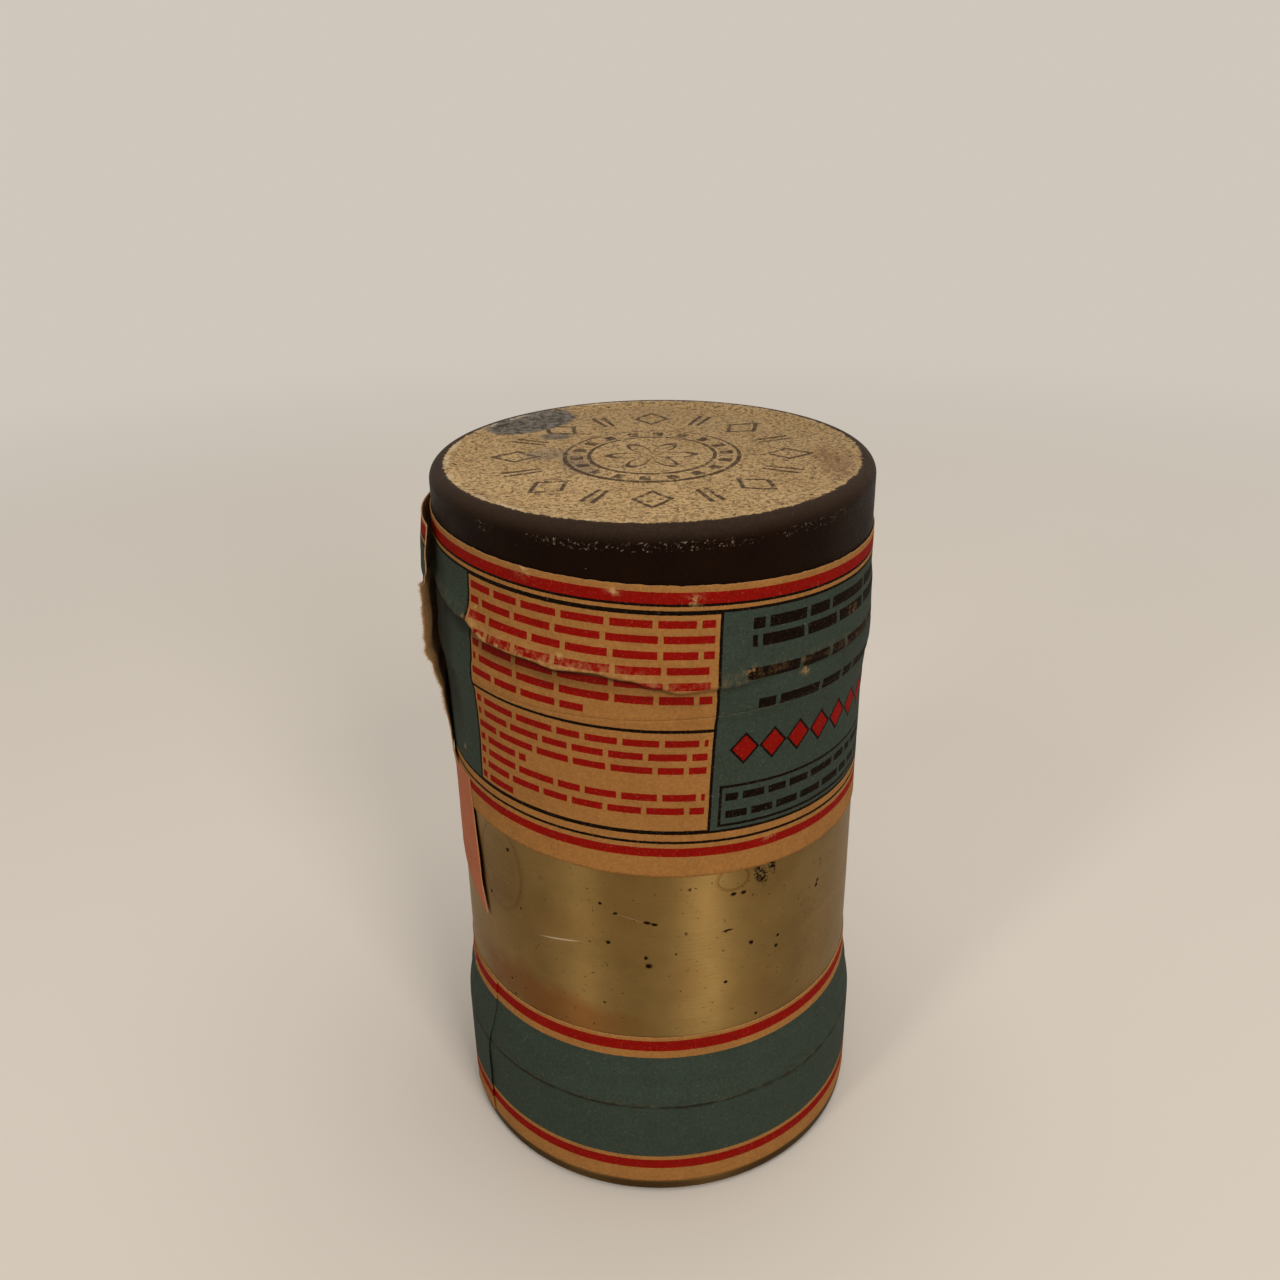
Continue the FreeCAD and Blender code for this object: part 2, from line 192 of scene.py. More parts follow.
def paper_sheet(name, columns, rows, place, materials, uv, thickness=PAPER, closed=False, curled=False):
    """A thin closed sheet. place(s, t) gives angle, radius and height of its outer face for
    s and t from 0 to 1, and uv(angle, height) the print's place in millimetres.
    Material 0 is the printed face, material 1 the back and the cut edges."""
    span = columns if closed else columns + 1
    front = []
    back = []
    marks = []
    for j in range(rows + 1):
        for i in range(span):
            s, t = i / columns, j / rows
            angle, radius, height = place(s, t)
            front.append((*polar(radius, angle), height))
            marks.append((angle, height))
            if curled:
                back.append(tuple(offset_inwards(place, s, t, thickness)))
            else:
                back.append((*polar(radius - thickness, angle), height))
    layer = len(front)
    faces = []
    slots = []

    def quad(corners, slot):
        faces.append(corners)
        slots.append(slot)

    for j in range(rows):
        for i in range(columns):
            a = j * span + i
            b = j * span + (i + 1) % span
            quad((a, b, b + span, a + span), 0)
            quad((layer + a + span, layer + b + span, layer + b, layer + a), 1)
    for i in range(columns):
        a = i
        b = (i + 1) % span
        top = rows * span
        quad((a, layer + a, layer + b, b), 1)
        quad((top + a, top + b, layer + top + b, layer + top + a), 1)
    if not closed:
        for j in range(rows):
            a = j * span
            b = j * span + columns
            quad((a, a + span, layer + a + span, layer + a), 1)
            quad((b, layer + b, layer + b + span, b + span), 1)
    uvs = []
    for face in faces:
        angles = [marks[v % layer][0] for v in face]
        wraps = max(angles) - min(angles) > 180
        for v in face:
            angle, height = marks[v % layer]
            turned = wraps and angle < min(angles) + 180
            uvs.append(uv(angle + 360 if turned else angle, height))
    return new_object(name, front + back, faces, materials, slots, uvs), marks * 2


def give_values(piece, name, values):
    """A value for each point of the mesh, read by its material."""
    layer = piece.data.attributes.new(name, "FLOAT", "POINT")
    layer.data.foreach_set("value", values)


# Material helpers
def colour(code):
    """sRGB hex to linear, with alpha 1."""
    channels = [int(code[k:k + 2], 16) / 255 for k in (1, 3, 5)]
    return tuple(c / 12.92 if c <= 0.04045 else ((c + 0.055) / 1.055) ** 2.4 for c in channels) + (1,)


def add(tree, kind, inputs=(), out=0, **settings):
    """Adds one node and gives its output. Inputs are sockets, plain values, hex colours, or None
    for one left alone; a dictionary names them by place or by name."""
    node = tree.nodes.new(kind if "Node" in kind else "ShaderNode" + kind)
    for key, value in settings.items():
        setattr(node, key, value)
    places = inputs if isinstance(inputs, dict) else dict(enumerate(inputs))
    for place, value in places.items():
        if isinstance(value, bpy.types.NodeSocket):
            tree.links.new(value, node.inputs[place])
        elif isinstance(value, str) and value.startswith("#"):
            node.inputs[place].default_value = colour(value)
        elif value is not None:
            node.inputs[place].default_value = value
    return None if out is None else node.outputs[out]


def layers(tree, base, *tops):
    """Lays colours over a base, each given as (where, how strongly, colour)."""
    for where, strength, top in tops:
        share = add(tree, "Math", [where, strength], operation="MULTIPLY")
        base = add(tree, "Mix", {0: share, 6: base, 7: top}, 2, data_type="RGBA")
    return base


def any_of(tree, *masks):
    """Where at least one of the masks is."""
    return reduce(lambda first, second: add(tree, "Math", [first, second], operation="MAXIMUM"), masks)


def all_of(tree, *masks):
    """Where every one of the masks is."""
    return reduce(lambda first, second: add(tree, "Math", [first, second], operation="MULTIPLY"), masks)


def speckle(tree, place, size, detail, rough, low, high):
    """Noise with cells about size millimetres across, spread from low to high over 0 to 1."""
    cells = add(tree, "TexNoise", {0: place, 2: 1 / size, 3: detail, 4: rough})
    return add(tree, "MapRange", [cells, low, high])


def new_material(name):
    material = bpy.data.materials.new(name)
    material.use_nodes = True
    tree = material.node_tree
    return material, tree, tree.nodes["Principled BSDF"]


def place_mm(tree):
    """The object's own coordinates in millimetres."""
    return add(tree, "VectorMath", {0: add(tree, "TexCoord", out=3), 3: 1 / MM}, operation="SCALE")


def dress(tree, shader, base, roughness, height, depth):
    """Links colour, roughness and a relief whose full height is depth millimetres."""
    tree.links.new(base, shader.inputs["Base Color"])
    if isinstance(roughness, bpy.types.NodeSocket):
        tree.links.new(roughness, shader.inputs["Roughness"])
    else:
        shader.inputs["Roughness"].default_value = roughness
    relief = add(tree, "Bump", {0: 1.0, 1: depth * MM, 3: height})
    tree.links.new(relief, shader.inputs["Normal"])


def block(tree, across, up, left, right, low, high):
    """1 inside a rectangle of the print."""
    wide = add(tree, "Math", [across, (left + right) / 2, (right - left) / 2], operation="COMPARE")
    tall = add(tree, "Math", [up, (low + high) / 2, (high - low) / 2], operation="COMPARE")
    return all_of(tree, wide, tall)


def frame_line(tree, across, up, area, width):
    """1 on a line just inside the edge of a rectangle."""
    left, right, low, high = area
    inside = block(tree, across, up, left + width, right - width, low + width, high - width)
    return add(tree, "Math", [block(tree, across, up, *area), inside], operation="SUBTRACT")


def blot(tree, flat, centre, size, turn=0.0, soft=0.35):
    """An oval mark on a flat place in millimetres, 1 in its middle."""
    local = add(tree, "Mapping", [flat, (*centre, 0), (0, 0, math.radians(turn)), (*size, 1)],
                vector_type="TEXTURE")
    reach = add(tree, "VectorMath", [local], 1, operation="LENGTH")
    return add(tree, "MapRange", [reach, 1 + soft, 1 - soft])


CREAM = "#9C6B38"
INK_BLUE = "#364037"
INK_RED = "#860C05"
INK_BLACK = "#0E0603"
# Pale of worn ink and nicks, also the painted highlight on the pleat's crest.
SCUFF_AND_HIGHLIGHT = "#B08A5A"


def aged_paper_with_painted_light(tree, printed, place):
    """Grain, foxing and pale nicks of old uncoated paper, over its print, with painted shade in the pleat's fold
    and beside the flap, a darker line along the lower label's crease, and ink worn away with a painted highlight on
    the pleat's crest.
    """
    grain = speckle(tree, place, 0.55, 4.0, 0.65, 0.34, 0.68)
    blotch = speckle(tree, place, 5.0, 4.0, 0.6, 0.45, 0.75)
    fibre = speckle(tree, place, 0.35, 2.0, 0.6, 0.60, 0.80)
    nicks = speckle(tree, place, 0.8, 3.0, 0.7, 0.76, 0.80)
    chips = speckle(tree, place, 1.3, 6.0, 0.7, 0.46, 0.60)
    # The "valley" values darken the paper: painted shade in the upper label's pleat and beside the flap, and a
    # darker line along the lower label's crease. The "crest" values give worn ink and a painted highlight.
    rubbed_and_highlight = all_of(tree, add(tree, "Attribute", out=2, attribute_name="crest"), chips)
    valley = add(tree, "Attribute", out=2, attribute_name="valley")
    aged = layers(tree, printed, (grain, 0.27, "#120802"), (blotch, 0.15, "#241206"), (fibre, 0.12, "#D8B286"),
                  (valley, 1.0, "#170B05"), (rubbed_and_highlight, 1.0, SCUFF_AND_HIGHLIGHT), (nicks, 0.45, SCUFF_AND_HIGHLIGHT))
    return aged, grain


def printed_paper(name, ink):
    """Letterpress print on uncoated paper, yellowed: dull, with soft grain and slight cockling."""
    material, tree, shader = new_material(name)
    place = place_mm(tree)
    uv = add(tree, "UVMap", uv_map="UVMap")
    jitter = add(tree, "TexNoise", {0: uv, 2: 2.5, 3: 2.0}, 1)
    ragged = add(tree, "VectorMath", [jitter, (0.14, 0.14, 0), uv], operation="MULTIPLY_ADD")
    centred = add(tree, "VectorMath", [ragged, (0.07, 0.07, 0)], operation="SUBTRACT")
    across = add(tree, "SeparateXYZ", [centred])
    up = add(tree, "SeparateXYZ", [centred], 1)
    aged, grain = aged_paper_with_painted_light(tree, ink(tree, across, up), place)
    cockle = speckle(tree, place, 4.0, 3.0, 0.5, 0.2, 0.8)
    relief = add(tree, "Math", [cockle, 2.0, grain], operation="MULTIPLY_ADD")
    dress(tree, shader, aged, 0.68, relief, 0.07)
    shader.inputs["Specular IOR Level"].default_value = 0.03
    return material


def ruled_rows(tree, across, up, top, pitch, bar, word):
    """Ruled bars in place of small print: rows at an even pitch, each broken into bars of
    about a word's length."""
    counted = add(tree, "Math", [top, up], operation="SUBTRACT")
    rows = add(tree, "Math", [counted, pitch], operation="DIVIDE")
    row = add(tree, "Math", [rows], operation="FLOOR")
    within = add(tree, "Math", [rows], operation="FRACT")
    line = add(tree, "Math", [within, 0.5, bar / pitch / 2], operation="COMPARE")
    along = add(tree, "Math", [row, 37.3, across], operation="MULTIPLY_ADD")
    gap = add(tree, "TexVoronoi", {1: along, 2: 1 / word, 8: 0.9}, voronoi_dimensions="1D",
              feature="DISTANCE_TO_EDGE")
    return all_of(tree, line, add(tree, "Math", [gap, 0.42 / word], operation="GREATER_THAN"))


def ruled_block(tree, across, up, left, right, top, rows, pitch, bar, word):
    """A number of ruled rows from a top edge down, between two sides."""
    area = block(tree, across, up, left, right, top - rows * pitch, top)
    return all_of(tree, area, ruled_rows(tree, across, up, top, pitch, bar, word))


# Print of the upper label in millimetres from the front panel's middle line, which lies at
# +X: the same panels are printed on both sides of it, so only the distance from it counts
PANEL_INNER = 50.3
PANEL_OUTER = 93.8
PRINT_LOW = 80.6
PRINT_HIGH = 120.4
DIVIDER = 99.9
THIN_LINE = 0.5
ROW_PITCH = 2.55
ROW_BAR = 1.3
TITLE_LOW = 92.8
TITLE_HIGH = 98.9
TITLE_STEP = 5.3


def title_row(tree, across, up):
    """In the title's place a row of red lozenges outlined in black."""
    step = add(tree, "Math", [across, TITLE_STEP], operation="DIVIDE")
    offset = add(tree, "Math", [add(tree, "Math", [step], operation="FRACT"), 0.5], operation="SUBTRACT")
    aside = add(tree, "Math", [offset], operation="ABSOLUTE")
    level = add(tree, "Math", [up, (TITLE_LOW + TITLE_HIGH) / 2], operation="SUBTRACT")
    beyond = add(tree, "Math", [level], operation="ABSOLUTE")
    reach = add(tree, "Math", [beyond, 1 / (TITLE_HIGH - TITLE_LOW), aside], operation="MULTIPLY_ADD")
    where = block(tree, across, up, 0, 9 * TITLE_STEP, TITLE_LOW, TITLE_HIGH)
    shape = all_of(tree, where, add(tree, "Math", [reach, 0.5], operation="LESS_THAN"))
    fill = all_of(tree, where, add(tree, "Math", [reach, 0.40], operation="LESS_THAN"))
    return shape, fill


def upper_label_ink(tree, across, up):
    """Cream ground, red and black border lines, cream text panels on a blue-green ground."""
    side = add(tree, "Math", [across], operation="ABSOLUTE")
    everywhere = (0, 400)
    field = block(tree, side, up, *everywhere, PRINT_LOW, PRINT_HIGH)
    panel = block(tree, side, up, PANEL_INNER, PANEL_OUTER, PRINT_LOW, PRINT_HIGH)
    blue = add(tree, "Math", [field, panel], operation="SUBTRACT")
    upper_top = DIVIDER + 7.75 * ROW_PITCH
    lower_top = DIVIDER - 1.0
    small = [(51.3, upper_top, 6, 7.5), (71.0, upper_top - 6 * ROW_PITCH, 1, 7.5), (51.3, lower_top, 3, 6.5),
             (82.0, lower_top - 3 * ROW_PITCH, 1, 6.5), (51.3, lower_top - 4 * ROW_PITCH, 2, 6.5),
             (85.0, lower_top - 6 * ROW_PITCH, 1, 6.5)]
    print_rows = [ruled_block(tree, side, up, left, 93.1, top, rows, ROW_PITCH, ROW_BAR, word)
                  for left, top, rows, word in small]
    headings = [ruled_block(tree, side, up, 0, 45.2, 119.2, 2, 2.9, 1.9, 9.0),
                ruled_block(tree, side, up, 0, 46.4, 111.4, 1, 4.0, 2.0, 7.5),
                ruled_block(tree, side, up, 0, 43.6, 106.0, 1, 4.0, 1.8, 6.5),
                ruled_block(tree, side, up, 0, 47.8, 88.6, 2, 3.3, 1.4, 5.0)]
    title, title_fill = title_row(tree, side, up)
    red = any_of(tree, block(tree, side, up, *everywhere, 121.75, 123.65),
                 block(tree, side, up, *everywhere, 76.0, 77.7), title_fill, *print_rows)
    lines = [block(tree, side, up, *everywhere, height - THIN_LINE / 2, height + THIN_LINE / 2)
             for height in (121.55, PRINT_HIGH, PRINT_LOW, 78.8)]
    panel_edge = (PANEL_INNER - 0.2, PANEL_OUTER + 0.2, PRINT_LOW, PRINT_HIGH)
    black = any_of(tree, *lines, *headings, title, frame_line(tree, side, up, panel_edge, THIN_LINE),
                   frame_line(tree, side, up, (0, 48.9, 81.4, 89.2), THIN_LINE),
                   block(tree, side, up, PANEL_INNER, PANEL_OUTER, DIVIDER - 0.3, DIVIDER + 0.3))
    return layers(tree, CREAM, (blue, 1.0, INK_BLUE), (black, 1.0, INK_BLACK), (red, 1.0, INK_RED))


def lower_label_ink(tree, across, up):
    """Blue-green field between cream and red borders."""
    field = block(tree, across, up, -400, 400, 9.4, 32.3)
    red = any_of(tree, block(tree, across, up, -400, 400, 33.8, 36.1),
                 block(tree, across, up, -400, 400, 6.4, 8.5))
    return layers(tree, CREAM, (field, 1.0, INK_BLUE), (red, 1.0, INK_RED))


def plain_paper(name, base, dark, roughness=0.8):
    """Unprinted paper: visible fibre and soft stains, fully matt."""
    material, tree, shader = new_material(name)
    place = place_mm(tree)
    fibre = speckle(tree, place, 0.5, 4.0, 0.7, 0.3, 0.7)
    stain = speckle(tree, place, 6.0, 3.0, 0.5, 0.3, 0.75)
    dress(tree, shader, layers(tree, base, (stain, 0.4, dark), (fibre, 0.5, dark)), roughness, fibre, 0.08)
    shader.inputs["Specular IOR Level"].default_value = 0.25
    return material


# Marks on the bare band, as (place round the tube and height, size, turn), in millimetres
RUST_SPOTS = (((-46.1, 66.4), (0.5, 0.36), 0), ((-44.2, 66.3), (0.5, 0.36), 0),
              ((-61.2, 62.3), (0.7, 0.3), -12), ((-60.0, 61.9), (0.6, 0.3), -12),
              ((-61.5, 54.7), (0.36, 0.4), 0), ((-61.0, 53.0), (0.6, 0.55), 0),
              ((-42.5, 55.0), (0.5, 0.4), -40), ((-37.1, 52.1), (0.4, 0.45), 30),
              ((-68.0, 57.5), (0.4, 0.35), 0), ((-66.6, 63.8), (0.4, 0.3), 0),
              ((-47.0, 59.0), (1.0, 0.2), 4), ((-88.2, 70.3), (0.4, 0.4), 0))
SMUDGES = (((-40.9, 68.9), (1.2, 2.3), 18), ((-38.6, 69.9), (0.7, 1.7), 14))
RUST_TRAIL = ((-26.8, 61.0), (0.5, 7.5), -12)
RING_STAIN = ((-46.2, 69.6), (2.6, 2.0), 0)
OVAL_STAIN = ((-91.0, 65.5), (5.4, 8.5), 0)
SCRATCH = ((-77.4, 55.7), (3.6, 0.16), 11)
HAIRLINE = ((-63.2, 62.8), (3.6, 0.09), -17)
TIDE = ((-82.0, 40.0), (17.0, 4.6), -6)


def ring_mark(tree, flat, mark, width):
    """The edge of a dried drop."""
    inside = blot(tree, flat, *mark, soft=0.02)
    outside = blot(tree, flat, mark[0], [side + width for side in mark[1]], soft=0.1)
    return add(tree, "Math", [outside, inside], operation="SUBTRACT")


def gold_lacquered_tinplate():
    """Tinplate under a transparent gold lacquer: satin metal brushed round the tin, so that
    lights draw out into upright streaks, with amber stains, rust pits and pale scratches."""
    material, tree, shader = new_material("gold_lacquered_tinplate")
    place = place_mm(tree)
    x, y, height = [add(tree, "SeparateXYZ", [place], axis) for axis in range(3)]
    angle = add(tree, "Math", [y, x], operation="ARCTAN2")
    flat = add(tree, "CombineXYZ", [all_of(tree, angle, tube_radius), height])
    shake = add(tree, "TexNoise", {0: flat, 2: 1.2, 3: 3.0}, 1)
    rough_edge = add(tree, "VectorMath", [shake, (0.5, 0.5, 0), flat], operation="MULTIPLY_ADD")
    shaken = add(tree, "VectorMath", [rough_edge, (0.25, 0.25, 0)], operation="SUBTRACT")
    drift = add(tree, "TexNoise", {0: flat, 2: 0.16, 3: 4.0}, 1)
    wide_edge = add(tree, "VectorMath", [drift, (7.0, 7.0, 0), flat], operation="MULTIPLY_ADD")
    drifted = add(tree, "VectorMath", [wide_edge, (3.5, 3.5, 0)], operation="SUBTRACT")
    cloud = speckle(tree, place, 11.0, 5.0, 0.6, 0.3, 0.7)
    amber = speckle(tree, place, 16.0, 3.0, 0.5, 0.50, 0.62)
    # Darker towards the bottom, below 3.6 mm.
    darker_foot = add(tree, "MapRange", [height, 3.6, 2.2])
    drops = any_of(tree, ring_mark(tree, flat, OVAL_STAIN, 0.7), ring_mark(tree, flat, RING_STAIN, 0.5),
                   all_of(tree, blot(tree, flat, *OVAL_STAIN), 0.5))
    scratches = any_of(tree, blot(tree, flat, *SCRATCH), all_of(tree, blot(tree, flat, *HAIRLINE), 0.3))
    pits = add(tree, "TexVoronoi", {0: flat, 2: 1 / 4.4, 8: 1.0})
    scattered = all_of(tree, add(tree, "MapRange", [pits, 0.09, 0.06]),
                       speckle(tree, place, 5.0, 2.0, 0.5, 0.44, 0.52))
    freckles = all_of(tree, speckle(tree, place, 0.7, 2.0, 0.5, 0.69, 0.73), 0.7)
    broken = speckle(tree, place, 0.5, 3.0, 0.7, 0.44, 0.50)
    smudges = [all_of(tree, blot(tree, shaken, *smudge), broken) for smudge in SMUDGES]
    trail = all_of(tree, blot(tree, shaken, *RUST_TRAIL), speckle(tree, place, 1.1, 2.0, 0.6, 0.55, 0.62))
    rust = any_of(tree, trail, scattered, freckles, *smudges, *[blot(tree, shaken, *spot) for spot in RUST_SPOTS])
    base = layers(tree, "#8D7142", (cloud, 1.0, "#7D6438"), (amber, 0.15, "#6A4318"),
                  (blot(tree, drifted, *TIDE, soft=0.4), 0.55, "#7A4115"), (drops, 0.5, "#5A3A14"),
                  (scratches, 0.8, "#C8B49A"), (darker_foot, 0.8, "#33200F"), (rust, 1.0, "#1E0E05"))
    brushed = add(tree, "VectorMath", [flat, (0.06, 3.0, 0)], operation="MULTIPLY")
    brush = add(tree, "TexNoise", {0: brushed, 2: 1.0, 3: 3.0})
    satin = add(tree, "Math", [brush, 0.24, 0.34], operation="MULTIPLY_ADD")
    relief = add(tree, "Math", [rust, -1.5, brush], operation="MULTIPLY_ADD")
    dress(tree, shader, base, any_of(tree, satin, all_of(tree, rust, 0.8)), relief, 0.03)
    shader.inputs["Metallic"].default_value = 1.0
    shader.inputs["Anisotropic"].default_value = 0.9
    shader.inputs["Anisotropic Rotation"].default_value = 0.25
    tree.links.new(add(tree, "Tangent", direction_type="RADIAL", axis="Z"), shader.inputs["Tangent"])
    return material


# Ornament painted on the lid, all from its centre in millimetres
RING_LINES = (10.9, 15.1)
RING_TICKS = 36
BAND_MIDDLE = 23.6
BAND_MARKS = 16
ROSETTE = 7.4


def lid_ornament(tree, radius, angle):
    """Thin painted lines: two rings with ticks between, a rosette, and a band of lozenges
    and bars in turn."""
    rings = [add(tree, "Math", [radius, line, 0.36], operation="COMPARE") for line in RING_LINES]
    ticking = add(tree, "Math", [angle, RING_TICKS / 2], operation="MULTIPLY")
    tick = add(tree, "Math", [add(tree, "Math", [ticking], operation="SINE"), 0.3], operation="GREATER_THAN")
    ticks = all_of(tree, tick, add(tree, "Math", [radius, 13.0, 1.1], operation="COMPARE"))
    petals = add(tree, "Math", [all_of(tree, angle, 3)], operation="COSINE")
    petal = all_of(tree, add(tree, "Math", [petals], operation="ABSOLUTE"), ROSETTE)
    rosette = add(tree, "Math", [radius, petal, 0.6], operation="COMPARE")
    turns = add(tree, "Math", [angle, BAND_MARKS / TAU], operation="MULTIPLY")
    nearest = add(tree, "Math", [add(tree, "Math", [turns, 0.5], operation="ADD")], operation="FLOOR")
    share = add(tree, "Math", [turns, nearest], operation="SUBTRACT")
    aside = add(tree, "Math", [all_of(tree, share, TAU * BAND_MIDDLE / BAND_MARKS)], operation="ABSOLUTE")
    off = add(tree, "Math", [radius, BAND_MIDDLE], operation="SUBTRACT")
    beyond = add(tree, "Math", [off], operation="ABSOLUTE")
    wide = add(tree, "Math", [aside, 3.1], operation="DIVIDE")
    spread = add(tree, "Math", [beyond, 1 / 4.1, wide], operation="MULTIPLY_ADD")
    lozenge = add(tree, "Math", [spread, 0.95, 0.15], operation="COMPARE")
    even = add(tree, "Math", [add(tree, "Math", [nearest, 2.0], operation="FLOORED_MODULO"), 0.5],
               operation="LESS_THAN")
    odd = add(tree, "Math", [1.0, even], operation="SUBTRACT")
    bars = block(tree, aside, beyond, 0.45, 1.25, 0, 3.3)
    return any_of(tree, *rings, ticks, rosette, all_of(tree, lozenge, even), all_of(tree, bars, odd))


ENAMEL_EDGE = 36.3


def lid_lacquers():
    """Cream enamel on the panel, crazed with fine rust and worn to grey in places, with painted light that makes it
    lighter at the front left, inside a dark brown stoved lacquer that runs over the shoulder and down the skirt,
    with a painted sheen on the shoulder."""
    material, tree, shader = new_material("lid_enamel_and_lacquer")
    place = place_mm(tree)
    x, y, height = [add(tree, "SeparateXYZ", [place], axis) for axis in range(3)]
    flat = add(tree, "CombineXYZ", [x, y])
    radius = add(tree, "VectorMath", [flat], 1, operation="LENGTH")
    angle = add(tree, "Math", [y, x], operation="ARCTAN2")
    shake = add(tree, "TexNoise", {0: place, 2: 1 / 1.5, 3: 4.0}, 1)
    shaken = add(tree, "VectorMath", [shake, (3.0, 3.0, 0), flat], operation="MULTIPLY_ADD")
    moved = add(tree, "VectorMath", [shaken, (1.5, 1.5, 0)], operation="SUBTRACT")

    cloud = speckle(tree, place, 9.0, 5.0, 0.6, 0.3, 0.7)
    # Painted light: the panel is lighter at the front left and darker towards the back right.
    front = add(tree, "MapRange", [add(tree, "Math", [x, 0.5, y], operation="MULTIPLY_ADD"), -24.0, 26.0])
    greyed = any_of(tree, blot(tree, moved, (-18.0, 1.0), (4.6, 3.4), 10),
                    blot(tree, moved, (-12.8, -4.5), (2.6, 6.0), 20))
    drawn = all_of(tree, lid_ornament(tree, radius, angle), speckle(tree, place, 1.3, 5.0, 0.75, 0.34, 0.48))
    dust = speckle(tree, place, 0.6, 4.0, 0.8, 0.50, 0.57)
    rusty = any_of(tree, blot(tree, moved, (30.6, -5.5), (2.6, 9.0), 6, 0.5),
                   speckle(tree, place, 8.0, 3.0, 0.6, 0.66, 0.72))
    spots = speckle(tree, place, 1.1, 3.0, 0.65, 0.61, 0.65)
    rim = all_of(tree, add(tree, "Math", [radius, 35.3, 0.45], operation="COMPARE"),
                 speckle(tree, place, 5.0, 4.0, 0.65, 0.48, 0.56), add(tree, "MapRange", [x, 10.0, -14.0]))
    mottle = layers(tree, "#3E372F", (speckle(tree, place, 1.4, 4.0, 0.7, 0.42, 0.58), 1.0, "#6C645B"))
    bald = any_of(tree, blot(tree, moved, (-22.8, 22.2), (9.8, 5.8), 42, 0.06),
                  all_of(tree, blot(tree, moved, (-17.5, 12.5), (3.0, 2.2), 0, 0.2), 0.8))
    panel = layers(tree, "#B6986B", (front, 1.0, "#9E845D"), (cloud, 0.35, "#8C6F46"), (greyed, 0.5, "#5E5750"),
                   (drawn, 0.9, "#2E2118"), (dust, 0.65, "#4A331E"), (rusty, 0.45, "#5A2F1C"),
                   (spots, 0.85, "#2C1B11"), (bald, 1.0, mottle), (rim, 0.55, "#C4B090"))

    # Painted sheen: a grey-brown sheen over the shoulder, paler towards the top of the skirt.
    top = add(tree, "MapRange", [height, lid_top - 2.6, lid_top - 0.5])
    edge = add(tree, "Math", [height, lid_top - 2.9, 0.75], operation="COMPARE")
    chips = all_of(tree, speckle(tree, place, 0.55, 4.0, 0.8, 0.58, 0.64), edge,
                   speckle(tree, place, 7.0, 2.0, 0.5, 0.40, 0.55))
    few = speckle(tree, place, 0.6, 2.0, 0.6, 0.75, 0.78)
    skirt = layers(tree, "#190A02", (cloud, 1.0, "#110602"), (top, 0.5, "#3E3025"),
                   (any_of(tree, chips, all_of(tree, few, 0.6)), 0.75, "#8B7A68"))

    fringe = speckle(tree, place, 1.1, 5.0, 0.75, 0.25, 0.75)
    frayed = add(tree, "Math", [fringe, 1.2, radius], operation="MULTIPLY_ADD")
    outside = any_of(tree, add(tree, "MapRange", [frayed, ENAMEL_EDGE, ENAMEL_EDGE + 0.2]),
                     add(tree, "Math", [height, lid_top - 1.2], operation="LESS_THAN"))
    wear = add(tree, "Math", [cloud, 0.12, 0.42], operation="MULTIPLY_ADD")
    relief = add(tree, "Math", [any_of(tree, dust, spots), -1.0, cloud], operation="MULTIPLY_ADD")
    dress(tree, shader, layers(tree, panel, (outside, 1.0, skirt)), wear, relief, 0.04)
    shader.inputs["Specular IOR Level"].default_value = 0.035
    return material


def soft_cotton(name, base, shade, cell):
    """Cotton: bright, matt, with a fuzzy sheen and shadows between its fibres."""
    material, tree, shader = new_material(name)
    fluff = speckle(tree, place_mm(tree), cell, 6.0, 0.7, 0.3, 0.7)
    dress(tree, shader, layers(tree, base, (fluff, 1.0, shade)), 0.9, fluff, 0.3)
    shader.inputs["Sheen Weight"].default_value = 0.25
    return material


def woven_gauze():
    """Open cotton gauze, its mesh drawn at 1.1 mm so that it shows."""
    material, tree, shader = new_material("cotton_gauze")
    uv = add(tree, "UVMap", uv_map="UVMap")
    threads = [add(tree, "TexWave", {0: uv, 1: 0.29, 2: 0.6, 3: 2.0}, 1, wave_type="BANDS",
                   bands_direction=direction) for direction in ("X", "Y")]
    weave = any_of(tree, *threads)
    dress(tree, shader, layers(tree, "#A99C82", (weave, 1.0, "#E0D8C4")), 0.88, weave, 0.15)
    shader.inputs["Sheen Weight"].default_value = 0.2
    return material


def aged_rubber():
    """Natural rubber with red filler, bloomed with age: dull and slightly dusty."""
    material, tree, shader = new_material("aged_red_rubber")
    bloom = speckle(tree, place_mm(tree), 3.0, 4.0, 0.6, 0.4, 0.7)
    dress(tree, shader, layers(tree, "#7A3B27", (bloom, 1.0, "#966550")), 0.75, bloom, 0.03)
    return material


def soft_solder():
    """Tin-lead solder: dull grey metal, wiped smooth with a few ripples."""
    material, tree, shader = new_material("tin_lead_solder")
    ripple = speckle(tree, place_mm(tree), 2.0, 3.0, 0.6, 0.3, 0.7)
    dress(tree, shader, layers(tree, "#8E8A80", (ripple, 1.0, "#6B6760")), 0.42, ripple, 0.03)
    shader.inputs["Metallic"].default_value = 1.0
    return material


def drawn_glass():
    """Soda-lime ampoule glass: clear, faintly green, with drawing streaks."""
    material, tree, shader = new_material("drawn_ampoule_glass")
    streak = speckle(tree, place_mm(tree), 4.0, 2.0, 0.5, 0.3, 0.7)
    dress(tree, shader, layers(tree, "#EAF3EE", (streak, 1.0, "#DCEAE2")), 0.03, streak, 0.002)
    shader.inputs["IOR"].default_value = 1.52
    shader.inputs["Transmission Weight"].default_value = 1.0
    return material


def indicator_dye():
    """Indicator crystals that have turned blue in the autoclave."""
    material, tree, shader = new_material("indicator_dye")
    grain = speckle(tree, place_mm(tree), 0.6, 3.0, 0.6, 0.35, 0.65)
    dress(tree, shader, layers(tree, "#31528C", (grain, 1.0, "#5C86BE")), 0.35, grain, 0.05)
    return material


